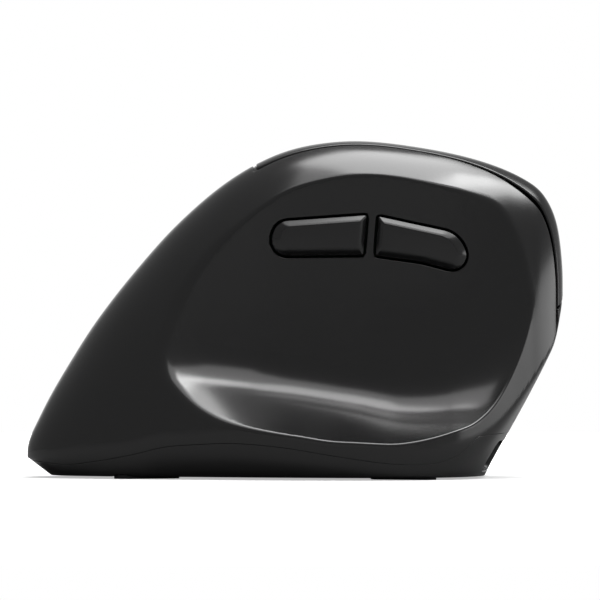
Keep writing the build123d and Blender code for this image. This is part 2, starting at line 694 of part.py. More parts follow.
sole -= pad_shapes(PAD_GAP)
for x, y in BASE_SCREWS:
    sole -= rod(Plane.XY, x, y, 0, BASE_SEAT, HEAD_RADIUS + 0.25)
    sole -= rod(Plane.XY, x, y, 0, BOSS_FOOT + 1, SCREW_RADIUS + SHANK_PLAY)
for x, y in BOARD_POSTS:
    sole -= rod(Plane.XY, x, y, 3, MAIN_BOARD + 1, SCREW_RADIUS + THREAD_PLAY)
sole -= block(Plane.XY, SENSOR_X, 0, -1, LIFT + FLOOR + 1, 11, 8, 2.5)
SLIDER_LENGTH, SLIDER_WIDTH, SLIDER_TRAVEL = 5.0, 3.4, 2.5
sole -= block(Plane.XY, SLIDER_X + SLIDER_TRAVEL / 2, SLIDER_Y, -1, LIFT + 1.1, 13, 6, 1.5)
sole -= block(Plane.XY, SLIDER_X + SLIDER_TRAVEL / 2, SLIDER_Y, 0, 4, SLIDER_TRAVEL + 3, 2.4)
save(sole, "base_plate")
save(pad_shapes(0), "glide_feet")
base_screws = Part()
for x, y in BASE_SCREWS:
    base_screws += screw(Plane.XY, x, y, BASE_SEAT, BOSS_FOOT + 3.6)
save(base_screws, "base_screws")

# Main board with its chips, sensor and lens, charging socket and power switch
with BuildPart() as main_board:
    with BuildSketch(Plane.XY.offset(MAIN_BOARD)):
        with Locations((KX * 14.5, 0)):
            RectangleRounded(KX * 37, KY * 30, 2)
        with Locations(*BOARD_POSTS):
            Circle(SCREW_RADIUS + SHANK_PLAY, mode=Mode.SUBTRACT)
        with Locations((SENSOR_X, 0)):
            Circle(2.2, mode=Mode.SUBTRACT)
    extrude(amount=BOARD)
save(main_board.part, "main_board")
top_face = MAIN_BOARD + BOARD
board_screws = Part()
for x, y in BOARD_POSTS:
    board_screws += screw(-Plane.XY, x, -y, -top_face, -BOARD_SCREW_END)
save(board_screws, "board_screws")
save(block(Plane.XY, SENSOR_X, 0, top_face, top_face + 2.4, 11, 9, 0.5), "sensor_chip")
with BuildPart() as lens:
    with BuildSketch(Plane.XY.offset(LIFT + FLOOR)):
        with Locations((SENSOR_X, 0)):
            RectangleRounded(14, 11, 1)
    extrude(amount=MAIN_BOARD - LIFT - FLOOR)
    with BuildSketch(Plane.XY.offset(LIFT + 0.8)):
        with Locations((SENSOR_X, 0)):
            RectangleRounded(10.4, 7.4, 2.2)
    extrude(amount=FLOOR - 0.8)
    with BuildSketch(Plane.XY.offset(LIFT + 0.8)):
        with Locations((SENSOR_X, 0)):
            Circle(1.5)
    extrude(amount=2.5, taper=-20, mode=Mode.SUBTRACT)
save(lens.part, "sensor_lens")
chips = block(Plane.XY, KX * 16, KY * 6, top_face, top_face + 1.2, 7, 7)
chips += block(Plane.XY, KX * 26, KY * 4, top_face, top_face + 1.0, 4, 5)
RIBBON_WIDTH = 10.0
FINGER_RIBBON_X, THUMB_RIBBON_X = KX * 9.0, KX * 18.0
save(chips, "main_chips")

port_back = KX * RECESS_BACK - 1.5
port_plane = Plane.YZ.offset(KX * RECESS_BACK - 0.6)
usb = block(port_plane, recess_y, recess_z, -PORT_LENGTH, 0, PORT_WIDTH, PORT_HEIGHT, 1.5)
usb -= block(port_plane, recess_y, recess_z, 0.8 - PORT_LENGTH, 1, PORT_WIDTH - 0.7, PORT_HEIGHT - 0.7, 1.2)
usb += block(port_plane, recess_y, recess_z, -PORT_LENGTH, -1.2, PORT_WIDTH - 2.6, 0.7)
save(usb, "usb_port")
bezel = block(
    Plane.YZ.offset(port_back), recess_y, recess_z, 0, 30,
    RECESS_WIDTH + 2 * BEZEL_WALL, SPAN + 2 * BEZEL_WALL, 2,
)
bezel &= hollow
bezel -= recess
bezel -= block(Plane.YZ, recess_y, recess_z, 0, 60, PORT_WIDTH + PORT_FIT, PORT_HEIGHT + PORT_FIT, 1.5)
save(bezel, "port_bezel")

slide_middle = SLIDER_X + SLIDER_TRAVEL / 2
slot_top = LIFT + FLOOR + 1.5
power_body = block(Plane.XY, slide_middle, SLIDER_Y, LIFT + FLOOR + 0.3, MAIN_BOARD, 9, 4)
power_body -= block(Plane.XY, slide_middle, SLIDER_Y, 0, slot_top, SLIDER_TRAVEL + 2.2, 1.8)
save(power_body, "power_switch_body")
slider = block(Plane.XY, SLIDER_X, SLIDER_Y, LIFT + 0.2, LIFT + 0.9, SLIDER_LENGTH, SLIDER_WIDTH, 0.8)
slider += block(Plane.XY, SLIDER_X, SLIDER_Y, LIFT + 0.2, LIFT + FLOOR + 1.4, 1.8, 1.6)
save(slider, "power_slider")

# Battery in its cradle
BATTERY_X, BATTERY_Y = KX * -28.5, KY * 1.5
BATTERY_Z = LIFT + FLOOR + BATTERY_RADIUS + 1.3
CRADLE_WALL = 1.3
CRADLE_LENGTH = BATTERY_LENGTH - 8
battery_plane = Plane.YZ.offset(BATTERY_X - BATTERY_LENGTH / 2)
with BuildPart() as battery:
    with BuildSketch(battery_plane):
        with Locations((BATTERY_Y, BATTERY_Z)):
            Circle(BATTERY_RADIUS)
    extrude(amount=BATTERY_LENGTH)
    chamfer(battery.edges().filter_by(GeomType.CIRCLE), 0.5)
    with BuildSketch(Plane.YZ.offset(BATTERY_X + BATTERY_LENGTH / 2)):
        with Locations((BATTERY_Y, BATTERY_Z)):
            Circle(2.6)
    extrude(amount=1)
save(battery.part, "battery")
cradle = block(
    Plane.XY, BATTERY_X + 2, BATTERY_Y, LIFT + FLOOR, BATTERY_Z - 1,
    CRADLE_LENGTH, 2 * (BATTERY_RADIUS + CRADLE_WALL), 1,
)
cradle -= rod(battery_plane, BATTERY_Y, BATTERY_Z, -5, BATTERY_LENGTH + 5, BATTERY_RADIUS + BATTERY_PLAY)
save(cradle, "battery_cradle")

# Receiver in its bay
receiver_foot = LIFT + 0.4
grip_top = receiver_foot + RECEIVER_GRIP
plug_top = receiver_foot + RECEIVER_LENGTH
grip = block(Plane.XY, BAY_X, BAY_Y, receiver_foot, grip_top, RECEIVER_WIDTH, RECEIVER_DEPTH, 1.2)
save(grip, "receiver_shell")
plug = block(Plane.XY, BAY_X, BAY_Y, grip_top, plug_top, PLUG_WIDTH, PLUG_DEPTH, 0.4)
plug -= block(
    Plane.XY, BAY_X, BAY_Y, grip_top + 1, BAY_TOP, PLUG_WIDTH - 2 * PLUG_WALL, PLUG_DEPTH - 2 * PLUG_WALL
)
save(plug, "receiver_plug")


def ribbon(points, x, name):
    """A flat cable between two boards, drawn as a bent line in the YZ plane."""
    with BuildPart() as form:
        with BuildSketch(Plane.YZ.offset(x - RIBBON_WIDTH / 2)):
            with BuildLine() as path:
                Polyline(*points)
            trace(path.line, 0.5)
        extrude(amount=RIBBON_WIDTH)
    save(form.part, name)


def finger_spot(v, w):
    spot = FINGER.from_local_coords((0, v, w))
    return spot.Y, spot.Z


def thumb_spot(v, w):
    spot = THUMB.from_local_coords((0, v, w))
    return spot.Y, spot.Z


finger_y, finger_z = finger_spot(BOARD_HALF - 2, FINGER_BOARD - BOARD - 0.3)
ribbon(
    [(finger_y, finger_z), (finger_y + 1, top_face + 8), (finger_y + 1, top_face)],
    FINGER_RIBBON_X, "finger_ribbon",
)
thumb_y, thumb_z = thumb_spot(-5.8, THUMB_BOARD - BOARD / 2)
ribbon(
    [(thumb_y, thumb_z), (thumb_y - 3, thumb_z - 15), (thumb_y - 3, top_face)],
    THUMB_RIBBON_X, "thumb_ribbon",
)
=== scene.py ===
import math

import bpy
import numpy as np
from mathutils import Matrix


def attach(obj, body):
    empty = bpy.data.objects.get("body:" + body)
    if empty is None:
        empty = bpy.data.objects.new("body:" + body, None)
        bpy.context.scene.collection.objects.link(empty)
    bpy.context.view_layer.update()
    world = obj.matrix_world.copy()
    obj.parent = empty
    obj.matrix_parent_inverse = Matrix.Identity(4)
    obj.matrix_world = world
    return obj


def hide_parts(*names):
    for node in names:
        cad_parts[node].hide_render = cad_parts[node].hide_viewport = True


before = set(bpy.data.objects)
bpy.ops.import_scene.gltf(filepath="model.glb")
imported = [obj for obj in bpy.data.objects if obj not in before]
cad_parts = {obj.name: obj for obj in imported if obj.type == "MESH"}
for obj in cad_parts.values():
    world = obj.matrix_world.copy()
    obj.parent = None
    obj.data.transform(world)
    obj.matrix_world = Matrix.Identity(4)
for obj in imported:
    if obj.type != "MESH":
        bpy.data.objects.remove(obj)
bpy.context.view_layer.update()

# The shot
# The photograph looks level and square at the thumb side of a left-handed vertical mouse, through a
# long lens. The mouse stands on a white studio table under large soft lamps.
MM = 0.001
SHOT_WIDTH = 134.5
SHOT_X = 1.1
SHOT_Z = 39.7
SHOT_DISTANCE = 1500.0
SENSOR = 36.0
bpy.ops.object.select_all(action="DESELECT")
bpy.ops.object.camera_add(
    location=(SHOT_X * MM, -SHOT_DISTANCE * MM, SHOT_Z * MM), rotation=(math.radians(90), 0, 0)
)
camera = bpy.context.object
camera.name = "shot_camera"
camera.data.sensor_width = SENSOR
camera.data.lens = SENSOR * SHOT_DISTANCE / SHOT_WIDTH
camera.data.clip_start = 0.05
camera.data.clip_end = 20
scene = bpy.context.scene
scene.camera = camera
scene.view_settings.view_transform = "Standard"


def colour(code):
    """An sRGB hex value as the linear colour that the shaders take."""
    parts = [int(code[i:i + 2], 16) / 255 for i in (1, 3, 5)]
    return [p / 12.92 if p <= 0.04045 else ((p + 0.055) / 1.055) ** 2.4 for p in parts] + [1.0]


def add_node(tree, kind, values={}, links={}, **settings):
    """Adds a node with its own options, its input values and the outputs linked to its inputs."""
    made = tree.nodes.new(kind)
    for name, value in settings.items():
        setattr(made, name, value)
    for socket, value in values.items():
        made.inputs[socket].default_value = value
    for socket, source in links.items():
        tree.links.new(source, made.inputs[socket])
    return made


def start_material(name):
    """A new material with an empty node tree, and that tree."""
    material = bpy.data.materials.new(name)
    material.use_nodes = True
    material.node_tree.nodes.clear()
    return material, material.node_tree


def combined(tree, operation, first, second, **settings):
    """The sum or the product of two outputs."""
    made = add_node(tree, "ShaderNodeMath", links={0: first, 1: second}, operation=operation, **settings)
    return made.outputs[0]


def ranged(tree, value, start, end, low=0.0, high=1.0, **settings):
    """An output mapped from one range of values to another."""
    ends = {"From Min": start, "From Max": end, "To Min": low, "To Max": high}
    return add_node(tree, "ShaderNodeMapRange", ends, {"Value": value}, **settings).outputs[0]


def mixed(tree, share, first, second):
    """The colour at a share of the way between two hex values."""
    ends = {6: colour(first), 7: colour(second)}
    return add_node(tree, "ShaderNodeMix", ends, {0: share}, data_type="RGBA").outputs[2]


def softbox(name, power, size, place, target):
    """A studio lamp: its watts, its two sides and its place in metres, and the point it faces."""
    bpy.ops.object.light_add(type="AREA", location=place)
    lamp = bpy.context.object
    lamp.name = name
    lamp.data.shape = "RECTANGLE"
    lamp.data.size, lamp.data.size_y = size
    lamp.data.energy = power
    aim = [t - p for t, p in zip(target, place)]
    flat = math.hypot(aim[0], aim[1])
    lamp.rotation_euler = (math.atan2(flat, -aim[2]), 0, math.atan2(aim[1], aim[0]) - math.pi / 2)
    return lamp


# A bright lamp with a wider, dimmer one round it hangs over the mouse, so every face that leans back by
# about half a right angle mirrors them. A small one lights the round corner, a dim card the nose below.
MIDDLE = (0.0, 0.0, 0.04)
softbox("top_lamp", 2.9, (0.6, 0.55), (0.13, 0.08, 0.74), MIDDLE)
softbox("wide_lamp", 3.5, (0.92, 1.0), (0.19, -0.08, 0.78), MIDDLE)
softbox("nose_lamp", 0.75, (0.22, 0.24), (0.37, -0.02, 0.58), MIDDLE)
softbox("nose_card", 0.25, (0.4, 0.16), (0.5, 0.02, 0.03), MIDDLE)

# The table is white laminate: it takes the soft shadow near the mouse and runs out into the white
# studio behind. The mouse itself is lit by it as by a grey card, and only the camera sees it white.
TABLE_RADIUS = 0.5
TABLE_GREY, TABLE_WHITE = "#868686", "#f2f2f2"
RUN_OUT_START, RUN_OUT_END = 0.07, 0.2
GLOW_NEAR, GLOW_FAR = 0.45, 1.0
bpy.ops.mesh.primitive_circle_add(vertices=96, radius=TABLE_RADIUS, fill_type="NGON")
table = bpy.context.object
table.name = "studio_table"
laminate, tree = start_material("white_laminate")
path = add_node(tree, "ShaderNodeLightPath")
place = add_node(tree, "ShaderNodeTexCoord")
reach = add_node(tree, "ShaderNodeVectorMath", links={0: place.outputs["Object"]}, operation="LENGTH")
run_out = ranged(
    tree, reach.outputs["Value"], RUN_OUT_START, RUN_OUT_END, GLOW_NEAR, GLOW_FAR,
    interpolation_type="SMOOTHSTEP",
)
glow = combined(tree, "MULTIPLY", path.outputs["Is Camera Ray"], run_out)
top = mixed(tree, path.outputs["Is Camera Ray"], TABLE_GREY, TABLE_WHITE)
matt = add_node(tree, "ShaderNodeBsdfDiffuse", links={"Color": top})
light = add_node(tree, "ShaderNodeEmission", {"Color": (1, 1, 1, 1)}, {"Strength": glow})
both = add_node(tree, "ShaderNodeAddShader", links={0: matt.outputs[0], 1: light.outputs[0]})
add_node(tree, "ShaderNodeOutputMaterial", links={"Surface": both.outputs[0]})
table.data.materials.append(laminate)

# The room: white for the camera, and partly so for what mirrors the wall straight behind the mouse. Its
# light is a dim even grey, a little paler overhead and more so at the nose.
ROOM_DARK, ROOM_PALE = "#7a7a7a", "#868686"
OVERHEAD_SHARE = 0.1
NOSE_WALL_START, NOSE_WALL_SHARE = 0.3, 0.8
BACK_WALL_START, BACK_WALL_SHARE = 0.8, 0.4
scene.world = bpy.data.worlds.new("studio_room")
scene.world.use_nodes = True
tree = scene.world.node_tree
tree.nodes.clear()
path = add_node(tree, "ShaderNodeLightPath")
place = add_node(tree, "ShaderNodeTexCoord")
axes = add_node(tree, "ShaderNodeSeparateXYZ", links={0: place.outputs["Generated"]})
lift = ranged(tree, axes.outputs["Z"], 0.0, 1.0, high=OVERHEAD_SHARE)
side = ranged(tree, axes.outputs["X"], NOSE_WALL_START, 1.0, high=NOSE_WALL_SHARE)
pale = combined(tree, "ADD", lift, side, use_clamp=True)
room = mixed(tree, pale, ROOM_DARK, ROOM_PALE)
behind = ranged(
    tree, axes.outputs["Y"], BACK_WALL_START, 1.0, high=BACK_WALL_SHARE, interpolation_type="SMOOTHSTEP"
)
clear = combined(
    tree, "ADD", path.outputs["Is Glossy Ray"], path.outputs["Is Transmission Ray"], use_clamp=True
)
mirrored = combined(tree, "MULTIPLY", clear, behind)
seen = combined(tree, "ADD", path.outputs["Is Camera Ray"], mirrored, use_clamp=True)
backdrop = add_node(tree, "ShaderNodeMix", {7: (1, 1, 1, 1)}, {0: seen, 6: room}, data_type="RGBA")
air = add_node(tree, "ShaderNodeBackground", links={"Color": backdrop.outputs[2]})
add_node(tree, "ShaderNodeOutputWorld", links={"Surface": air.outputs[0]})

# The form
# All the outer shells share one moulded form, drawn in millimetres. The ridge, the half widths and their
# widest line, the foot round the sole and the parting line are the CAD's own curves. The thumb side's
# flattening and its hollow are drawn closer to the photograph.
HALF = 60.0
LIFT = 0.5


def curve(*points, closing=False):
    """A smooth curve through the points; a closing one rounds off at the tail and the nose."""
    knots = np.array([p for p, v in points], float)
    values = np.array([v for p, v in points], float)
    if closing:
        knots = np.arccos(np.clip(-knots / HALF, -1, 1))
    slopes = np.empty_like(values)
    slopes[1:-1] = (values[2:] - values[:-2]) / (knots[2:] - knots[:-2])
    slopes[0] = (values[1] - values[0]) / (knots[1] - knots[0])
    slopes[-1] = (values[-1] - values[-2]) / (knots[-1] - knots[-2])

    def at(x):
        t = np.asarray(x, float)
        if closing:
            t = np.arccos(np.clip(-t / HALF, -1, 1))
        i = np.clip(np.searchsorted(knots, t, side="right") - 1, 0, len(knots) - 2)
        step = knots[i + 1] - knots[i]
        s = np.clip((t - knots[i]) / step, 0, 1)
        smooth = (
            values[i] * (2 * s**3 - 3 * s**2 + 1)
            + values[i + 1] * (3 * s**2 - 2 * s**3)
            + step * (slopes[i] * (s**3 - 2 * s**2 + s) + slopes[i + 1] * (s**3 - s**2))
        )
        before, after = np.minimum(t - knots[0], 0), np.maximum(t - knots[-1], 0)
        return smooth + slopes[0] * before + slopes[-1] * after

    return at


ridge = curve(
    (-60, 5.5), (-58.5, 10.9), (-56.4, 15.2), (-51.3, 24.3), (-44.4, 35.1), (-36.1, 45.8),
    (-26.4, 56.6), (-15.7, 65.8), (-5.9, 71.5), (3, 74.3), (14.2, 75.3), (27.7, 73.9),
    (41.1, 71.0), (51.5, 66.7), (55.8, 63.1), (58.7, 56.6), (59.8, 48.5), (60, 43.5), closing=True,
)
widest = curve(
    (-60, 5.5), (-45, 5.5), (-20, 7), (15, 8), (30, 11), (40, 17), (48, 26), (55, 36), (60, 43.5),
    closing=True,
)
thumb_half = curve(
    (-60, 0), (-55, 8.5), (-45, 15), (-35, 19.3), (-25, 23), (-15, 26.6), (-5, 29.3), (5, 30.9),
    (15, 31.4), (25, 30.3), (35, 26), (42, 20.5), (48, 15.2), (52.2, 11.8), (55, 9.6), (58, 6), (60, 0),
    closing=True,
)
finger_half = curve(
    (-60, 0), (-55, 10.5), (-45, 19), (-35, 24.5), (-25, 28), (-15, 30.2), (-5, 31.2), (5, 31.4),
    (15, 31), (25, 29), (35, 25.3), (42, 21), (50, 14), (55, 9.5), (58, 5.8), (60, 0), closing=True,
)
FINGER_FLAT = 0.3
thumb_flat = curve((-60, 0), (-40, 0.04), (-20, 0.10), (-10, 0.14), (2, 0.08), (18, 0), (40, 0), (60, 0))
# The hollow: the height where its fold starts, how deep its wall lies, how far the wall leans out over
# LEAN_SPAN above, the fold's radius and its turn in degrees, and how the part under FLARE_TOP flares out
scoop_line = curve(
    (-40, 32.8), (-20.6, 30.3), (-9, 28.4), (1, 27.2), (12, 25.4), (23.5, 23.2), (34.3, 24), (45, 31.2),
    (56, 45.7),
)
scoop_wall = curve(
    (-40, 23.5), (-30, 18.7), (-25.5, 16.4), (-20, 14.2), (-10, 11.6), (-5, 10.9), (0, 10.7), (38, 10.9),
    (47, 10.9), (52, 11.1), (58, 11.3),
)
scoop_lean = curve(
    (-40, 3.7), (-20.6, 3.2), (-12, 3), (0, 2.3), (18, 1.8), (30, 1.5), (38, 0.9), (45, -0.5), (52, -2.2),
    (58, -3.7),
)
scoop_radius = curve(
    (-40, 14), (-25.5, 13.5), (-20.6, 13), (-9, 12), (7.8, 12), (23.5, 12), (34.3, 13), (45, 20), (58, 27)
)
scoop_turn = curve(
    (-40, 40), (-25.5, 42), (-20.6, 46), (-9, 58), (1, 62), (7.8, 63), (23.5, 68), (34.3, 68), (45, 65),
    (58, 61),
)
scoop_flare = curve((-60, 0), (-5, 0), (8, 0.3), (20, 1.6), (34.3, 3.4), (45, 2.4), (58, 0), (60, 0))
LEAN_SPAN = 30
FLARE_TOP, FLARE_UNIT = 44.0, 1000
# The sole's outline, from the tail along the thumb side; point SOLE_NOSE is its nose
SOLE = [
    (-54, 0), (-51.5, -7), (-43.7, -12.7), (-36.3, -15.9), (-28.7, -17.6), (-21.3, -19.9),
    (-13.9, -22.3), (-2.7, -25.6), (8.5, -27.9), (19.7, -29), (27.3, -27.8), (33.2, -24),
    (38.5, -17.5), (41.5, -9), (42.2, 0), (41.3, 10), (37, 18.5), (30, 24), (20, 27.2), (8, 28.4),
    (-5, 28), (-15, 26.8), (-25, 24.4), (-35, 20.8), (-45, 15.2), (-51.5, 8),
]
SOLE_NOSE = 14
chin_growth = curve((0, 0), (28, 15.0), (36, 17.1), (44, 18.1), (90, 22))
# The foot's growth with height: the sides lean out by 30 degrees, the tail by more up to TAIL_RISE
SIDE_GROWTH, SIDE_COSINE = 0.577, 0.87
TAIL_GROWTH, TAIL_RISE = 1.33, 12.0
parting = curve(
    (-60, 3.9), (-51, 3.1), (-43.7, 4.0), (-36.3, 5.4), (-28.7, 7.2), (-21.3, 7.8), (-13.9, 8.1),
    (-2.7, 7.2), (8.5, 5.4), (19.7, 3.8), (27.3, 3.4), (33.2, 4.3), (37, 6.1), (41, 9.6), (60, 9.8),
)
# Rounding where the scoop meets the body: a crisp edge over the buttons, a soft roll at the palm
crease_round = curve((-40, 2.4), (-27, 1.9), (-20, 1.5), (-12, 0.9), (-3, 0.6), (8, 0.5), (60, 0.5))
FOOT_ROUND = 2.5
SOLE_ROUND = 0.8

# Half widths of the foot at each height, kept squared so that they close evenly at both ends
FOOT_STEP, FOOT_TOP = 0.5, 62.0
SIDE_STEP, SIDE_REACH = 0.25, 64.0
foot_x = np.arange(-SIDE_REACH, SIDE_REACH + SIDE_STEP, SIDE_STEP)


def foot_row(z):
    """The foot's squared half widths at one height, on the thumb side and on the finger side."""
    grown = []
    for i, (x, y) in enumerate(SOLE):
        before, after = SOLE[i - 1], SOLE[(i + 1) % len(SOLE)]
        nx, ny = after[1] - before[1], before[0] - after[0]
        size = math.hypot(nx, ny)
        nx, ny = nx / size, ny / size
        side = SIDE_GROWTH * z
        chin = float(chin_growth(z))
        tail = TAIL_GROWTH * min(z, TAIL_RISE) + SIDE_GROWTH * max(0, z - TAIL_RISE)
        growth = side + (chin - side) * nx**2 if nx > 0 else side + (tail - side) * nx**4
        grown.append((x + nx * growth, y + ny * growth))
    rows = []
    for first, last, sign in ((0, SOLE_NOSE, -1), (SOLE_NOSE, len(SOLE), 1)):
        xs, ys = [], []
        for i in range(first, last):
            a, b, c, d = (np.array(grown[(i + k) % len(grown)]) for k in (-1, 0, 1, 2))
            for s in np.arange(0, 1, 0.1):
                point = b + 0.5 * s * (c - a + s * (2 * a - 5 * b + 4 * c - d + s * (3 * (b - c) + d - a)))
                xs.append(point[0])
                ys.append(max(0, sign * point[1]) ** 2)
        xs.append(grown[last % len(grown)][0])
        ys.append(0)
        order = np.argsort(xs)
        xs, ys = np.array(xs)[order], np.array(ys)[order]
        row = np.interp(foot_x, xs, ys)
        row = row + np.minimum(foot_x - xs[0], 0) * (ys[4] - ys[0]) / max(xs[4] - xs[0], 0.05)
        row = row - np.maximum(foot_x - xs[-1], 0) * (ys[-5] - ys[-1]) / max(xs[-1] - xs[-5], 0.05)
        rows.append(row)
    return rows


foot_table = np.array([foot_row(z) for z in np.arange(0, FOOT_TOP, FOOT_STEP)])


def foot_squared(x, y, z):
    """The foot's squared half width at a place, read between the rows of the table."""
    column = np.clip((x + SIDE_REACH) / SIDE_STEP, 0, len(foot_x) - 1.001)
    level = np.clip(z / FOOT_STEP, 0, foot_table.shape[0] - 1.001)
    i, j = column.astype(int), level.astype(int)
    u, v = column - i, level - j
    k = (y > 0).astype(int)
    low = foot_table[j, k, i] * (1 - u) + foot_table[j, k, i + 1] * u
    high = foot_table[j + 1, k, i] * (1 - u) + foot_table[j + 1, k, i + 1] * u
    return low * (1 - v) + high * v


def blend_max(a, b, soft):
    """The larger of two levels, rounded where they are close."""
    share = np.clip(0.5 + 0.5 * (a - b) / soft, 0, 1)
    return b + (a - b) * share + soft * share * (1 - share)


def form_levels(x):
    """For places along the body, the function of (y, z) that gives the levels of its four limits."""
    middle, height = widest(x), np.maximum(ridge(x) - widest(x), 0.05)
    thumb, finger = np.maximum(thumb_half(x), 0.05), np.maximum(finger_half(x), 0.05)
    line, wall, lean, roll = scoop_line(x), scoop_wall(x), scoop_lean(x), scoop_radius(x)
    leaning, bend = np.maximum(thumb_flat(x), 0), np.radians(scoop_turn(x))
    flare = np.maximum(scoop_flare(x), 0) / FLARE_UNIT

    def at(y, z):
        up = np.maximum(z - middle, 0)
        half = np.where(y < 0, thumb, finger)
        flat = np.where(y < 0, leaning, FINGER_FLAT)
        width = half
        for repeat in range(5):
            size = np.hypot(y / width, up / height)
            width = half * (1 - flat * np.clip(up / height / np.maximum(size, 1e-6), 0, 1) ** 2)
        size = np.hypot(y / width, up / height)
        vault = size * (size - 1) / np.maximum(np.hypot(y / width**2, up / height**2), 1e-6)
        squared = foot_squared(x, y, z)
        foot = (y**2 - squared) / (np.abs(y) + np.sqrt(np.abs(squared)) + 0.01) * SIDE_COSINE
        drop = line - z
        turn_drop = roll * np.sin(bend)
        arc = roll - np.sqrt(roll**2 - np.clip(drop, 0, turn_drop) ** 2)
        beyond = np.maximum(drop - turn_drop, 0)
        upper = lean * (np.minimum(drop, 0) / LEAN_SPAN) ** 2
        flaring = np.maximum(FLARE_TOP - z, 0)
        hollow_y = -(wall + upper + arc + beyond * np.tan(bend) + flare * flaring**2)
        slope = np.clip(drop, 0, turn_drop) / np.sqrt(roll**2 - np.clip(drop, 0, turn_drop) ** 2)
        slope = slope + 2 * flare * flaring
        scoop = (hollow_y - y) / np.hypot(1, slope)
        return vault, foot, scoop, LIFT - z

    return at


def form_level(x):
    """The same as one rounded level: below zero inside the body, near the distance in millimetres."""
    limits, soft = form_levels(x), crease_round(x)

    def at(y, z):
        vault, foot, scoop, sole = limits(y, z)
        body = blend_max(vault, foot, FOOT_ROUND)
        return blend_max(blend_max(body, scoop, soft), sole, SOLE_ROUND)

    return at


# How far out the form is looked for, in how many halvings, and the steps that its slopes are taken over
FORM_REACH, HALVINGS = 95.0, 30
NORMAL_STEP, SLOPE_STEP = 0.04, 0.05


def on_form(turn, across, upward):
    """Points of the form, from the turn along the body (0 tail, pi nose) and a direction about its axis."""
    x = -HALF * np.cos(turn)
    level, middle = form_level(x), widest(x)
    near, far = np.zeros_like(x), np.full_like(x, FORM_REACH)
    for halving in range(HALVINGS):
        reach = 0.5 * (near + far)
        outside = level(across * reach, middle + upward * reach) > 0
        far, near = np.where(outside, reach, far), np.where(outside, near, reach)
    return np.stack([x, across * near, middle + upward * near], 1)


def form_normals(points):
    """Outward directions of the form at points on it."""
    x, y, z = points.T
    step = NORMAL_STEP
    up = form_level(x)(y, z + step) - form_level(x)(y, z - step)
    out = form_level(x)(y + step, z) - form_level(x)(y - step, z)
    ahead = form_level(np.minimum(x + step, HALF - 0.001))(y, z)
    back = form_level(np.maximum(x - step, 0.001 - HALF))(y, z)
    normal = np.stack([ahead - back, out, up], 1)
    return normal / np.linalg.norm(normal, axis=1)[:, None]


# A net of points laid over the whole form, mostly evenly spaced round the section at NET_MIDDLE
NET_ROWS, NET_COLUMNS = 176, 232
NET_MIDDLE, EVEN_SHARE, ROUND_SHARE = 1.70, 0.8, 0.2
END_TURN = 0.008
probe = np.linspace(-math.pi / 2, 1.5 * math.pi, 4001)
ring = on_form(np.full_like(probe, NET_MIDDLE), -np.cos(probe), np.sin(probe))
run = np.concatenate([[0], np.cumsum(np.linalg.norm(np.diff(ring, axis=0), axis=1))])
share = EVEN_SHARE * run / run[-1] + ROUND_SHARE * (probe - probe[0]) / (2 * math.pi)
angles = np.interp(np.arange(NET_COLUMNS) / NET_COLUMNS, share, probe)
turns = np.linspace(END_TURN * math.pi, (1 - END_TURN) * math.pi, NET_ROWS)
net_turn = np.repeat(turns, NET_COLUMNS)
net_way = np.tile(np.stack([-np.cos(angles), np.sin(angles)], 1), (NET_ROWS, 1))
net_points = on_form(net_turn, net_way[:, 0], net_way[:, 1])
row, column = np.meshgrid(np.arange(NET_ROWS - 1), np.arange(NET_COLUMNS), indexing="ij")
here = row * NET_COLUMNS + column
beside = row * NET_COLUMNS + (column + 1) % NET_COLUMNS
net_faces = np.stack([here, here + NET_COLUMNS, beside + NET_COLUMNS, beside], 2).reshape(-1, 4)
net_ends = [
    list(range(NET_COLUMNS)),
    list(range(NET_ROWS * NET_COLUMNS - 1, (NET_ROWS - 1) * NET_COLUMNS - 1, -1)),
]


# A point within SNAP of a line is taken to lie on it
SNAP = 0.004


def score(skin, level, value):
    """Splits the skin's faces along the line where the level has the value."""
    values = level(skin["points"]) - value
    values[np.abs(values) < SNAP] = 0
    sign = np.sign(values).astype(int)
    crossing, faces = {}, []
    for face in skin["faces"]:
        signs = [sign[v] for v in face]
        if min(signs) < 0 < max(signs):
            for a, b in zip(face, face[1:] + face[:1]):
                if sign[a] * sign[b] < 0:
                    crossing.setdefault((min(a, b), max(a, b)), len(crossing))
    if not crossing:
        return
    ends = np.array(list(crossing))
    low, high = values[ends[:, 0]], values[ends[:, 1]]
    start, stop = np.zeros(len(ends)), np.ones(len(ends))
    for again in range(2):
        part = start + (stop - start) * low / (low - high)
        turn = skin["turn"][ends[:, 0]] * (1 - part) + skin["turn"][ends[:, 1]] * part
        way = skin["way"][ends[:, 0]] * (1 - part)[:, None] + skin["way"][ends[:, 1]] * part[:, None]
        way /= np.linalg.norm(way, axis=1)[:, None]
        points = on_form(turn, way[:, 0], way[:, 1])
        found = level(points) - value
        same = np.sign(found) == np.sign(low)
        start, stop = np.where(same, part, start), np.where(same, stop, part)
        low, high = np.where(same, found, low), np.where(same, high, found)
    first = len(skin["points"])
    skin["turn"] = np.concatenate([skin["turn"], turn])
    skin["way"] = np.concatenate([skin["way"], way])
    skin["points"] = np.concatenate([skin["points"], points])
    for face in skin["faces"]:
        signs = [sign[v] for v in face]
        if not min(signs) < 0 < max(signs):
            faces.append(face)
            continue
        inner, outer = [], []
        for a, b in zip(face, face[1:] + face[:1]):
            if sign[a] <= 0:
                inner.append(a)
            if sign[a] >= 0:
                outer.append(a)
            if sign[a] * sign[b] < 0:
                spot = first + crossing[(min(a, b), max(a, b))]
                inner.append(spot)
                outer.append(spot)
        faces.extend(f for f in (inner, outer) if len(f) > 2)
    skin["faces"] = faces


# An edge is scored at these degrees of its roll. Faces further outside than NET_MARGIN are left out first,
# and after the scoring all that don't lie inside by SLIVER.
EDGE_TURNS = (0, 30, 60, 90)
NET_MARGIN, SLIVER = 3.0, 0.002


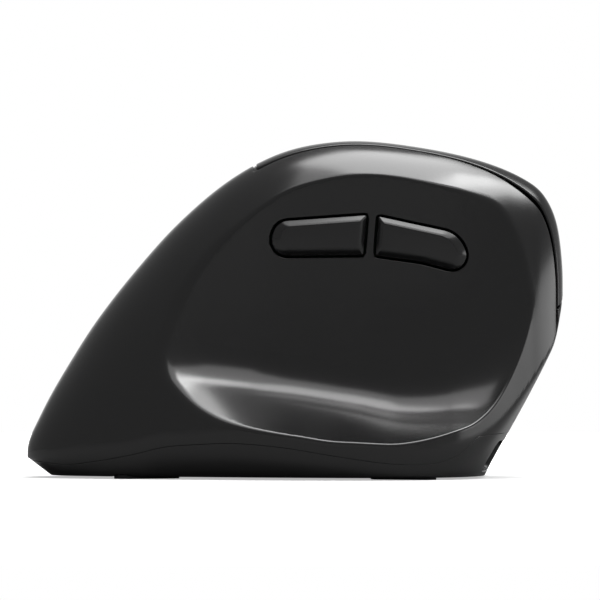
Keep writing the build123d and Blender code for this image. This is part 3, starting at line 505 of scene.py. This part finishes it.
def moulded_shell(name, level, wall, edge, inner_lines=(), crisp=None, sunk=0.0):
    """A shell of the form where the level is below zero, with rolled edges and a wall's thickness.

    crisp gives the share of the edge's roll that is left at each point, and sunk lowers it all.
    """
    away = level(net_points)
    near = away < NET_MARGIN
    kept = [list(map(int, f)) for f in net_faces[near[net_faces].any(axis=1)]]
    kept += [f for f in net_ends if near[f].any()]
    skin = {"turn": net_turn.copy(), "way": net_way.copy(), "points": net_points.copy(), "faces": kept}
    for line, values in inner_lines:
        for value in values:
            score(skin, line, value)
    for turn in EDGE_TURNS:
        score(skin, level, -edge * (1 - math.sin(math.radians(turn))))
    points = skin["points"]
    away = level(points)
    middles = [sum(away[v] for v in f) / len(f) for f in skin["faces"]]
    faces = [f for f, m in zip(skin["faces"], middles) if m < -SLIVER]
    used = sorted({v for f in faces for v in f})
    order = {v: i for i, v in enumerate(used)}
    faces = [[order[v] for v in f] for f in faces]
    points, away = points[used], away[used]
    normals = form_normals(points)
    step = SLOPE_STEP
    slope = np.stack(
        [level(points + np.eye(3)[k] * step) - level(points - np.eye(3)[k] * step) for k in range(3)], 1
    )
    slope -= normals * (slope * normals).sum(1)[:, None]
    slope /= np.maximum(np.linalg.norm(slope, axis=1), 1e-9)[:, None]
    tilt = np.arcsin(np.clip(1 + away / edge, 0, 1))
    roll = edge * (crisp(points) if crisp else 1)
    outer = points - normals * (sunk + roll * (1 - np.cos(tilt)))[:, None]
    shown = normals * np.cos(tilt)[:, None] + slope * np.sin(tilt)[:, None]
    inner = points - normals * (sunk + wall)
    count = len(points)
    sides = {}
    for face in faces:
        for a, b in zip(face, face[1:] + face[:1]):
            if (b, a) in sides:
                del sides[(b, a)]
            else:
                sides[(a, b)] = True
    rim = [[b, a, a + count, b + count] for a, b in sides]
    back = [[v + count for v in reversed(f)] for f in faces]
    mesh = bpy.data.meshes.new(name)
    mesh.from_pydata((np.concatenate([outer, inner]) * MM).tolist(), [], faces + back + rim)
    mesh.polygons.foreach_set("use_smooth", [True] * len(mesh.polygons))
    loops = [shown[v] for f in faces for v in f] + [-normals[v - count] for f in back for v in f]
    loops += [slope[v % count] for f in rim for v in f]
    mesh.normals_split_custom_set([tuple(n) for n in loops])
    made = bpy.data.objects.new(name, mesh)
    scene.collection.objects.link(made)
    return made


def crease_line(points):
    """Zero on the line where the thumb hollow meets the body."""
    vault, foot, scoop, sole = form_levels(points[:, 0])(points[:, 1], points[:, 2])
    return np.maximum(vault, foot) - scoop


def sole_line(points):
    """Zero on the edge between the undercut foot and the flat of the sole."""
    vault, foot, scoop, sole = form_levels(points[:, 0])(points[:, 1], points[:, 2])
    return foot - sole


# Housing
# The main shell: ABS, injection moulded in one piece with the thumb hollow, from the sole's parting
# line up to the groove beside the finger keys, with two openings in the hollow's wall for the buttons.
# In each level below, CLEAR stands for well outside.
CLEAR = 9.0
PART_GAP, PART_CRISP = 0.02, 0.3
SEAM, SEAM_Y = 0.6, -5.0
HOUSING_WALL, HOUSING_EDGE = 1.0, 0.35
KEY_BACK = ((-10.0, 85.0), (-5.5, 27.0))
KEY_ROUND, RIDGE_ROUND = 8.0, 1.0
RECESS_SIDE, RECESS_HALF, RECESS_ROUND = -6.0, 7.0, 1.5
RECESS_LOW, RECESS_HIGH = 1.6, 8.3
RECESS_START = 32.0
# The openings' distances are worked out within THUMB_NEAR of their plane's origin
THUMB_NEAR = (30, 12, 8)
THUMB_TILT = math.radians(8)
THUMB_ORIGIN = np.array([16.0, -12.3, 53.0])
THUMB_OUT = np.array([0, -math.cos(THUMB_TILT), -math.sin(THUMB_TILT)])
THUMB_UP = np.array([0, -math.sin(THUMB_TILT), math.cos(THUMB_TILT)])
BACK_OUTLINE = [(-23.0, -4.0, 4.0), (-20.6, 4.6, 4.0), (0.4, 6.1, 0.8), (-0.4, -3.8, 0.8)]
FORWARD_OUTLINE = [
    (1.4, -3.8, 0.8), (2.1, 5.9, 0.8), (20.6, 1.9, 7.0), (25.2, -8.8, 3.6), (12.0, -5.3, 2.0),
]
ARC_STEPS = 8


def rounded(corners, insets=None):
    """The outline of a polygon with round corners, each side drawn in by its inset, as equal points."""
    count = len(corners)
    insets = insets or [0] * count
    spots = [np.array(c[:2]) for c in corners]
    lines = []
    for i in range(count):
        along = spots[(i + 1) % count] - spots[i]
        along = along / np.linalg.norm(along)
        inward = np.array([along[1], -along[0]])
        lines.append((spots[i] + inward * insets[i], along, inward))
    outline = []
    for i in range(count):
        (p, d, n), (q, e, m) = lines[i - 1], lines[i]
        cross = d[0] * e[1] - d[1] * e[0]
        corner = p + d * ((q - p)[0] * e[1] - (q - p)[1] * e[0]) / cross
        radius = max(0.25, corners[i][2] - (insets[i - 1] + insets[i]) / 2)
        bend = math.acos(max(-1, min(1, float(d @ e))))
        setback = radius * math.tan(bend / 2)
        side = 1 if cross < 0 else -1
        middle = corner - d * setback + side * n * radius
        start = math.atan2(*(-side * n)[::-1])
        for k in range(ARC_STEPS + 1):
            angle = start - side * bend * k / ARC_STEPS
            outline.append(middle + radius * np.array([math.cos(angle), math.sin(angle)]))
    return np.array(outline)


def outline_level(u, v, outline):
    """Distance to a closed outline, below zero inside it."""
    best = np.full(len(u), 1e9)
    crossings = np.zeros(len(u), int)
    for (ax, ay), (bx, by) in zip(outline, np.roll(outline, -1, axis=0)):
        dx, dy = bx - ax, by - ay
        share = np.clip(((u - ax) * dx + (v - ay) * dy) / max(dx * dx + dy * dy, 1e-12), 0, 1)
        best = np.minimum(best, np.hypot(u - ax - share * dx, v - ay - share * dy))
        if dy:
            crossings += ((ay > v) != (by > v)) & (u < ax + (v - ay) / dy * dx)
    return np.where(crossings % 2 == 1, -best, best)


def box_level(u, v, half_u, half_v, radius):
    """Distance to a rectangle with round corners, below zero inside it."""
    p, q = np.abs(u) - half_u + radius, np.abs(v) - half_v + radius
    return np.hypot(np.maximum(p, 0), np.maximum(q, 0)) + np.minimum(np.maximum(p, q), 0) - radius


def key_field(points, grow):
    """Below zero in the finger keys' field: in front of its back line, over its foot and past the groove."""
    (top_x, top_z), (low_x, low_z) = KEY_BACK
    along = np.array([low_x - top_x, low_z - top_z])
    along = along / np.linalg.norm(along)
    x, y, z = points.T
    front = -(x - low_x) * along[1] + (z - low_z) * along[0] + grow
    over = z - low_z + grow
    size = KEY_ROUND + grow
    field = size - np.hypot(np.maximum(size - front, 0), np.maximum(size - over, 0))
    return blend_max(-field, SEAM_Y - (2 * grow - SEAM) / 2 - y, RIDGE_ROUND)


def thumb_place(points):
    """Places along and up the thumb buttons' plane, and out from it."""
    from_origin = points - THUMB_ORIGIN
    return from_origin[:, 0], from_origin @ THUMB_UP, from_origin @ THUMB_OUT


def recess_level(points):
    """Below zero in the cable-port recess that opens at the nose."""
    x, y, z = points.T
    middle, half = (RECESS_LOW + RECESS_HIGH) / 2, (RECESS_HIGH - RECESS_LOW) / 2
    opening = box_level(y - RECESS_SIDE, z - middle, RECESS_HALF, half, RECESS_ROUND)
    return np.where(x > RECESS_START, opening, CLEAR)


def part_crisp(points):
    """The parting line's edges roll less than the others."""
    return np.where(np.abs(points[:, 2] - parting(points[:, 0])) < HOUSING_EDGE, PART_CRISP, 1.0)


def housing_level(points):
    """Below zero in the main shell: over the parting line, outside the keys' field, round its openings."""
    x, y, z = points.T
    level = np.maximum((parting(x) + PART_GAP - z) / PART_CRISP, -key_field(points, SEAM))
    level = np.maximum(level, -recess_level(points))
    u, v, w = thumb_place(points)
    close = (np.abs(u) < THUMB_NEAR[0]) & (np.abs(v) < THUMB_NEAR[1]) & (np.abs(w) < THUMB_NEAR[2])
    for corners in (BACK_OUTLINE, FORWARD_OUTLINE):
        opening = np.full(len(points), CLEAR)
        opening[close] = outline_level(u[close], v[close], rounded(corners))
        level = np.maximum(level, -opening)
    return level


CREASE_VALUES = (-1.6, -0.8, -0.4, -0.2, 0, 0.2, 0.4, 0.8, 1.6)
housing = moulded_shell(
    "housing_skin", housing_level, HOUSING_WALL, HOUSING_EDGE, [(crease_line, CREASE_VALUES)], part_crisp
)


# Black ABS under a thin satin lacquer: nearly black, with a soft clear reflection of the lamps. The skin
# under the lacquer has the tool's fine grain, and handling evens the sheen a little in patches.
LACQUER, PLASTIC = 1.5, 1.53
PATCH, PATCH_LOW, PATCH_HIGH = 14, 0.3, 0.7
BLACK, BLACK_WORN = "#0c0c0d", "#101011"


def noise(tree, place, size, detail, rough):
    """A noise whose waves are about that size in millimetres."""
    inputs = {"Scale": 1 / (size * MM), "Detail": detail, "Roughness": rough}
    return add_node(tree, "ShaderNodeTexNoise", inputs, {"Vector": place}).outputs["Fac"]


def bumped(tree, height, strength, depth):
    """A surface's direction over bumps of that depth in millimetres."""
    inputs = {"Strength": strength, "Distance": depth * MM}
    return add_node(tree, "ShaderNodeBump", inputs, {"Height": height}).outputs[0]


def end_in_surface(tree, values, paint, sheen, bump):
    """Ends a material's tree in one surface with those values and outputs."""
    links = {"Base Color": paint, "Roughness": sheen, "Normal": bump}
    skin = add_node(tree, "ShaderNodeBsdfPrincipled", values, links)
    add_node(tree, "ShaderNodeOutputMaterial", links={"Surface": skin.outputs[0]})


def moulded_abs(name, shade, worn, smooth, rough, grain, depth):
    """Lacquered ABS: its two shades, its least and most roughness, and its grain's size and depth."""
    material, tree = start_material(name)
    place = add_node(tree, "ShaderNodeTexCoord").outputs["Object"]
    patches = noise(tree, place, PATCH, detail=3.0, rough=0.55)
    paint = mixed(tree, patches, shade, worn)
    sheen = ranged(tree, patches, PATCH_LOW, PATCH_HIGH, smooth, rough)
    texture = noise(tree, place, grain, detail=2.0, rough=0.6)
    bump = bumped(tree, texture, strength=0.5, depth=depth)
    coat = {"IOR": PLASTIC, "Coat Weight": 1.0, "Coat IOR": LACQUER, "Coat Roughness": smooth}
    end_in_surface(tree, coat, paint, sheen, bump)
    return material


def finish_with(obj, material, body, slot_name, *nodes):
    """Gives a piece its material and body, and hides the CAD parts that it stands in for."""
    obj.data.materials.clear()
    obj.data.materials.append(material)
    if nodes:
        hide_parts(*nodes)
    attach(obj, body)


shell_abs = moulded_abs("satin_black_abs", BLACK, BLACK_WORN, 0.20, 0.23, 0.5, 0.002)
finish_with(housing, shell_abs, "housing", "shell_plastic", "main_housing")

# Sole
# The lower tray: the same ABS, moulded with its flat sole, the undercut sides and the bevelled chin. It
# is screwed up into the housing from under the four glide pads; the joint shows as a fine wavy line.
SOLE_WALL, SOLE_EDGE = 1.6, 0.3
PAD_PLACES = ((-33.0, -11.0), (-35.0, 14.0), (24.0, 20.5), (24.0, -19.5))
PAD_HALF_LENGTH, PAD_HALF_WIDTH, PAD_TURN, PAD_GAP = 7.5, 3.0, math.radians(20), 0.3
# The sensor's window, the receiver's bay and the power switch: place, half sizes and corner radius
SOLE_WINDOWS = ((2.0, 0.0, 5.5, 4.0, 2.5), (-20.0, 16.5, 7.5, 3.4, 1.2), (21.25, -8.5, 6.5, 3.0, 1.5))
WINDOW_TOP = 1.0
SOLE_LINES = (-0.8, -0.3, 0.3, 0.8)


def sole_openings(x, y):
    """Distances to the pads' beds and to the windows."""
    for pad_x, pad_y in PAD_PLACES:
        turn = math.copysign(PAD_TURN, pad_x * pad_y)
        u = (x - pad_x) * math.cos(turn) + (y - pad_y) * math.sin(turn)
        v = (y - pad_y) * math.cos(turn) - (x - pad_x) * math.sin(turn)
        half = PAD_HALF_WIDTH + PAD_GAP
        yield box_level(u, v, PAD_HALF_LENGTH + PAD_GAP, half, half)
    for middle_x, middle_y, half_x, half_y, radius in SOLE_WINDOWS:
        yield box_level(x - middle_x, y - middle_y, half_x, half_y, radius)


def sole_level(points):
    """Below zero in the tray: under the parting line and round its openings."""
    x, y, z = points.T
    level = np.maximum((z - parting(x) + PART_GAP) / PART_CRISP, -recess_level(points))
    for opening in sole_openings(x, y):
        level = np.maximum(level, np.where(z < WINDOW_TOP, -opening, -CLEAR))
    return level


sole = moulded_shell("sole_skin", sole_level, SOLE_WALL, SOLE_EDGE, [(sole_line, SOLE_LINES)], part_crisp)
sole_abs = moulded_abs("fine_black_abs", BLACK, BLACK_WORN, 0.22, 0.25, 0.4, 0.002)
finish_with(sole, sole_abs, "housing", "shell_plastic", "base_plate")

# Finger keys
# Two thin ABS plates hooked over the wheel's frame. They wrap the ridge, so their edges show past the
# groove along the top and round the nose, and a narrow gap parts them in front of the wheel.
KEY_WALL, KEY_EDGE = 1.0, 0.35
FINGER_TILT = math.radians(22)
FINGER_ORIGIN = np.array([28.0, 21.0, 46.0])
FINGER_OUT = np.array([0, math.cos(FINGER_TILT), math.sin(FINGER_TILT)])
FINGER_DOWN = np.array([0, math.sin(FINGER_TILT), -math.cos(FINGER_TILT)])
SPINE_BACK, SPINE_FRONT, SPINE_HALF, SPINE_ROUND = -42.0, 14.0, 5.6, 1.5
SPLIT_FALL = 4.0 / 60.0
# The keys are trimmed a little round the nose, most at its low end, to clear the housing when pressed
NOSE_START, NOSE_FULL = 36.0, 52.0
NOSE_ROOM, LOW_ROOM, LOW_START, LOW_FULL = 0.06, 0.3, 38.0, 34.5


def finger_place(points):
    """Places along and down the plane that the fingers rest on, and out from it."""
    from_origin = points - FINGER_ORIGIN
    return from_origin[:, 0], from_origin @ FINGER_DOWN, from_origin @ FINGER_OUT


def spine_level(u, v, grow):
    """Distance to the strip between the keys, grown by some room."""
    middle, half = (SPINE_FRONT + SPINE_BACK) / 2, (SPINE_FRONT - SPINE_BACK) / 2
    return box_level(u - middle, v, half + grow, SPINE_HALF + grow, SPINE_ROUND + grow)


def key_level(side):
    """The level of one key: side -1 is the index finger's, over the split, and 1 the middle finger's."""

    def level(points):
        u, v, w = finger_place(points)
        split = side * (-SPLIT_FALL * np.maximum(u, 0) - v) + SEAM / 2
        low = np.clip((LOW_START - points[:, 2]) / (LOW_START - LOW_FULL), 0, 1)
        along = np.clip((points[:, 0] - NOSE_START) / (NOSE_FULL - NOSE_START), 0, 1)
        room = along * (NOSE_ROOM + LOW_ROOM * low)
        return np.maximum(np.maximum(key_field(points, 0) + room, -spine_level(u, v, SEAM)), split)

    return level


key_abs = moulded_abs("satin_key_abs", BLACK, BLACK_WORN, 0.20, 0.23, 0.45, 0.002)
for name, side in (("index", -1), ("middle", 1)):
    key = moulded_shell(f"{name}_key_skin", key_level(side), KEY_WALL, KEY_EDGE)
    finish_with(key, key_abs, f"{name}_key", "key_plastic", f"{name}_button")

# Seam ribs
# The housing's own moulded lip runs under the groove behind the keys, and the frame's, set deeper, under
# the split at the nose. They stop light and dust, so the gaps read as dark lines and not as slots.
RIB_HALF, RIB_WALL, RIB_EDGE = 0.2, 0.6, 0.05
SEAM_RIB_DEPTH, SEAM_RIB_FRONT = 0.3, -6.5
SPLIT_RIB_DEPTH, SPLIT_RIB_BACK, SPLIT_RIB_LOW, SPLIT_RIB_ROOM = 0.9, SPINE_FRONT + 2, -14, 0.4


def seam_rib_level(points):
    """Below zero under the groove behind the keys."""
    return np.where(points[:, 0] < SEAM_RIB_FRONT, np.abs(key_field(points, SEAM / 2)) - RIB_HALF, CLEAR)


def split_rib_level(points):
    """Below zero under the split in front of the spine."""
    u, v, w = finger_place(points)
    between = np.abs(v + SPLIT_FALL * np.maximum(u, 0)) - RIB_HALF
    level = np.maximum(between, key_field(points, 0) + SPLIT_RIB_ROOM)
    return np.where((u > SPLIT_RIB_BACK) & (w > SPLIT_RIB_LOW), level, CLEAR)


for name, level, depth in (
    ("seam_rib", seam_rib_level, SEAM_RIB_DEPTH), ("split_rib", split_rib_level, SPLIT_RIB_DEPTH)
):
    rib = moulded_shell(name, level, RIB_WALL, RIB_EDGE, sunk=depth)
    finish_with(rib, shell_abs, "housing", "shell_plastic")

# Wheel spine
# The strip between the keys belongs to the frame under them. It is a slightly paler trim moulding, open
# for the wheel and for the small speed button behind it.
SPINE_WALL, SPINE_EDGE, SPINE_LOW = 0.9, 0.3, -8
WHEEL_X, WHEEL_SLOT_HALF, WHEEL_SLOT_SIDE, WHEEL_SLOT_ROUND = -2.0, 12.0, 4.0, 0.8
SPEED_X, SPEED_HALF, SPEED_SIDE, SPEED_GAP = -26.5, 4.5, 2.5, 0.3


def spine_cover(points):
    """Below zero in the strip between the keys, round the wheel's slot and the speed button's."""
    u, v, w = finger_place(points)
    level = np.maximum(spine_level(u, v, 0), key_field(points, 0))
    wheel_slot = box_level(u - WHEEL_X, v, WHEEL_SLOT_HALF, WHEEL_SLOT_SIDE, WHEEL_SLOT_ROUND)
    end = SPEED_SIDE + SPEED_GAP
    speed_slot = box_level(u - SPEED_X, v, SPEED_HALF + SPEED_GAP, end, end)
    return np.where(w < SPINE_LOW, CLEAR, np.maximum(np.maximum(level, -wheel_slot), -speed_slot))


spine = moulded_shell("spine_cover", spine_cover, SPINE_WALL, SPINE_EDGE)
trim_abs = moulded_abs("polished_trim_abs", "#141415", "#18181a", 0.20, 0.26, 0.4, 0.003)
finish_with(spine, trim_abs, "housing", "trim_plastic")


def smooth_solid(name, points, faces, angle):
    """A closed solid from points in metres: its faces turned outward, and smooth up to that angle."""
    mesh = bpy.data.meshes.new(name)
    mesh.from_pydata([tuple(p) for p in points], [], faces)
    made = bpy.data.objects.new(name, mesh)
    scene.collection.objects.link(made)
    bpy.ops.object.select_all(action="DESELECT")
    made.select_set(True)
    bpy.context.view_layer.objects.active = made
    bpy.ops.object.mode_set(mode="EDIT")
    bpy.ops.mesh.select_all(action="SELECT")
    bpy.ops.mesh.normals_make_consistent(inside=False)
    bpy.ops.object.mode_set(mode="OBJECT")
    bpy.ops.object.shade_smooth_by_angle(angle=math.radians(angle))
    made.select_set(False)
    return made


CAP_SMOOTH, TYRE_SMOOTH = 28, 35


def capped(name, rings, origin, along, across, out):
    """A closed cap: rings of equal outlines at their heights over a plane, with flat ends."""
    points, faces = [], []
    for outline, height in rings:
        for u, v in outline:
            points.append((origin + u * along + v * across + height * out) * MM)
    count = len(rings[0][0])
    for k in range(len(rings) - 1):
        for i in range(count):
            j = (i + 1) % count
            faces.append([k * count + i, k * count + j, (k + 1) * count + j, (k + 1) * count + i])
    faces.append(list(range(count - 1, -1, -1)))
    faces.append([(len(rings) - 1) * count + i for i in range(count)])
    return smooth_solid(name, points, faces, CAP_SMOOTH)


# Thumb buttons
# Two solid caps moulded in ABS, smoother than the shell. Each has a flat face and bevelled borders, wide
# below and mitred at the bar between them, and sinks into its opening when pressed.
THUMB_GAP, THUMB_PROUD = 0.45, 1.3
CAP_ROOT, LIP, LIP_TOP = -3.0, 0.18, 0.25
CAP_SIDE = ((0, CAP_ROOT), (0, -0.1), (0.3 * LIP, 0.12), (LIP, LIP_TOP))
# Shares of the bevel's width and of its height, from the lip to the face
BEVEL_CURVE = ((0.5, 0.51), (0.93, 0.95), (1.0, 0.99), (1.1, 1.0))
BACK_BEVELS = (2.0, 1.15, 1.3, 2.3)
FORWARD_BEVELS = (1.3, 1.15, 1.8, 2.3, 2.3)
RIGHTWARD = np.array([1.0, 0, 0])
button_abs = moulded_abs("smooth_button_abs", BLACK, BLACK_WORN, 0.18, 0.20, 0.35, 0.0015)
for name, corners, bevels in (
    ("back", BACK_OUTLINE, BACK_BEVELS), ("forward", FORWARD_OUTLINE, FORWARD_BEVELS)
):
    rings = [(rounded(corners, [THUMB_GAP + inset] * len(corners)), height) for inset, height in CAP_SIDE]
    for share, height in BEVEL_CURVE:
        insets = [THUMB_GAP + LIP + share * (bevel - LIP) for bevel in bevels]
        rings.append((rounded(corners, insets), LIP_TOP + (THUMB_PROUD - LIP_TOP) * height))
    cap = capped(f"{name}_cap", rings, THUMB_ORIGIN, RIGHTWARD, THUMB_UP, THUMB_OUT)
    finish_with(cap, button_abs, f"{name}_key", "thumb_button_plastic", f"{name}_button")

# Speed button
# A small pill-shaped key behind the wheel that steps the pointer's speed, in the same trim plastic.
SPEED_TOP = 2.6
# How far each ring is drawn in, and how far it lies under the top
SPEED_SECTION = ((0, 5.0), (0, 0.5), (0.07, 0.25), (0.25, 0.07), (0.6, 0.0), (1.2, -0.05))
pill = [
    (u * SPEED_HALF, v * SPEED_SIDE, SPEED_SIDE - 0.01) for u, v in ((-1, -1), (-1, 1), (1, 1), (1, -1))
]
rings = [(rounded(pill, [inset] * 4), SPEED_TOP - drop) for inset, drop in SPEED_SECTION]
speed_origin = FINGER_ORIGIN + SPEED_X * RIGHTWARD
speed = capped("speed_cap", rings, speed_origin, RIGHTWARD, FINGER_DOWN, FINGER_OUT)
finish_with(speed, trim_abs, "dpi_key", "trim_plastic", "dpi_button")

# Scroll wheel tyre
# Soft black rubber moulded over the hub, crowned across its width, with grooves for the fingertip.
TYRE_RADIUS, TYRE_BORE, TYRE_HALF = 11.5, 9.1, 3.5
TYRE_GROOVES, TYRE_STEPS = 24, 12
GROOVE_DEPTH, GROOVE_FLOOR, GROOVE_SIDE, GROOVE_BEND = 0.6, 0.12, 0.26, 0.7
WHEEL_PROUD = 3.5
WHEEL_CENTRE = FINGER_ORIGIN + WHEEL_X * RIGHTWARD + (WHEEL_PROUD - TYRE_RADIUS) * FINGER_OUT
# The rubber's section: places across, shares of its thickness, and shares of a groove's depth
section = [
    (-TYRE_HALF, 0.0, 0.0), (-TYRE_HALF, 0.72, 0.3), (-TYRE_HALF + 0.35, 0.9, 0.7),
    (-TYRE_HALF + 0.9, 0.97, 1.0), (-1.2, 1.0, 1.0), (1.2, 1.0, 1.0), (TYRE_HALF - 0.9, 0.97, 1.0),
    (TYRE_HALF - 0.35, 0.9, 0.7), (TYRE_HALF, 0.72, 0.3), (TYRE_HALF, 0.0, 0.0),
]
points, faces = [], []
around = TYRE_GROOVES * TYRE_STEPS
for i in range(around):
    turn = 2 * math.pi * i / around
    beat = abs(2 * ((i / TYRE_STEPS) % 1) - 1)
    rise = min(1, max(0, (beat - GROOVE_FLOOR) / GROOVE_SIDE))
    groove = GROOVE_DEPTH * (1 - rise) ** GROOVE_BEND
    for side, height, cut in section:
        radius = TYRE_BORE + (TYRE_RADIUS - TYRE_BORE) * height - groove * cut
        spot = WHEEL_CENTRE + side * FINGER_DOWN
        spot = spot + radius * (math.cos(turn) * RIGHTWARD + math.sin(turn) * FINGER_OUT)
        points.append(spot * MM)
width = len(section)
for i in range(around):
    j = (i + 1) % around
    for k in range(width):
        m = (k + 1) % width
        faces.append([i * width + k, j * width + k, j * width + m, i * width + m])
tyre = smooth_solid("tyre_ribbed", points, faces, TYRE_SMOOTH)


# Soft materials and plain technical finishes share one recipe: a base shade that a noise drifts, a
# roughness, and a fine grain at its real size.
SMOOTHER, ROUGHER = 0.85, 1.15


def technical(name, shade, tint, rough, metal, grain, depth, clear=0.0):
    """A finish: its two shades, roughness, metal, its grain's size and depth, and how clear it is."""
    material, tree = start_material(name)
    place = add_node(tree, "ShaderNodeTexCoord").outputs["Object"]
    texture = noise(tree, place, grain, detail=3.0, rough=0.5)
    paint = mixed(tree, texture, shade, tint)
    sheen = ranged(tree, texture, 0.0, 1.0, rough * SMOOTHER, min(1, rough * ROUGHER))
    bump = bumped(tree, texture, strength=0.6, depth=depth)
    end_in_surface(tree, {"Metallic": metal, "Transmission Weight": clear}, paint, sheen, bump)
    return material


rubber = technical("moulded_rubber", "#151515", "#1b1b1b", 0.7, 0.0, 0.3, 0.02)
finish_with(tyre, rubber, "wheel", "tyre_rubber", "wheel_tyre")

# Inner parts
# What the openings and the gaps let the eye reach, and what lies behind it: the frame, boards, switches,
# screws, battery, receiver and glide pads keep their CAD shapes and take the finish of the real ones.
finishes = {
    "matt_inner_abs": (
        ("#1d1d1e", "#232324", 0.6, 0.0, 0.6, 0.02),
        "finger_frame port_bezel thumb_posts battery_cradle carrier_posts wheel_carrier wheel_hub",
    ),
    "solder_resist_board": (
        ("#12402a", "#184a31", 0.35, 0.0, 0.8, 0.01), "finger_board thumb_board main_board",
    ),
    "epoxy_chip": (("#18181a", "#202022", 0.5, 0.0, 0.2, 0.01), "main_chips sensor_chip"),
    "nylon_switch": (
        ("#1f1f20", "#2a2a2b", 0.5, 0.0, 0.4, 0.01),
        "back_switch forward_switch index_switch middle_switch wheel_switch dpi_switch wheel_encoder "
        "power_switch_body",
    ),
    "nylon_plunger": (
        ("#b9b4a6", "#c6c1b4", 0.45, 0.0, 0.4, 0.01),
        "back_plunger forward_plunger index_plunger middle_plunger wheel_plunger dpi_plunger",
    ),
    "zinc_plated_steel": (
        ("#a9abad", "#c3c5c7", 0.3, 1.0, 0.15, 0.004),
        "base_screws board_screws frame_screws thumb_screws usb_port wheel_axle carrier_pin receiver_plug",
    ),
    "printed_battery_wrap": (("#23415e", "#2a4b6b", 0.32, 0.0, 1.5, 0.01), "battery"),
    "clear_polycarbonate": (("#e9eef0", "#f4f7f8", 0.06, 0.0, 2.0, 0.001, 0.9), "sensor_lens"),
    "slick_pad_plastic": (("#26272a", "#2e2f32", 0.45, 0.0, 0.5, 0.008), "glide_feet"),
    "switch_knob_abs": (("#5a5c60", "#65676b", 0.45, 0.0, 0.4, 0.01), "power_slider"),
    "receiver_abs": (("#19191a", "#1f1f20", 0.42, 0.0, 0.4, 0.01), "receiver_shell"),
    "polyimide_ribbon": (("#8a4a14", "#9a561b", 0.4, 0.0, 1.0, 0.005), "finger_ribbon thumb_ribbon"),
}
for name, (recipe, members) in finishes.items():
    material = technical(name, *recipe)
    for member in members.split():
        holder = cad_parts[member]
        holder.data.materials.clear()
        holder.data.materials.append(material)
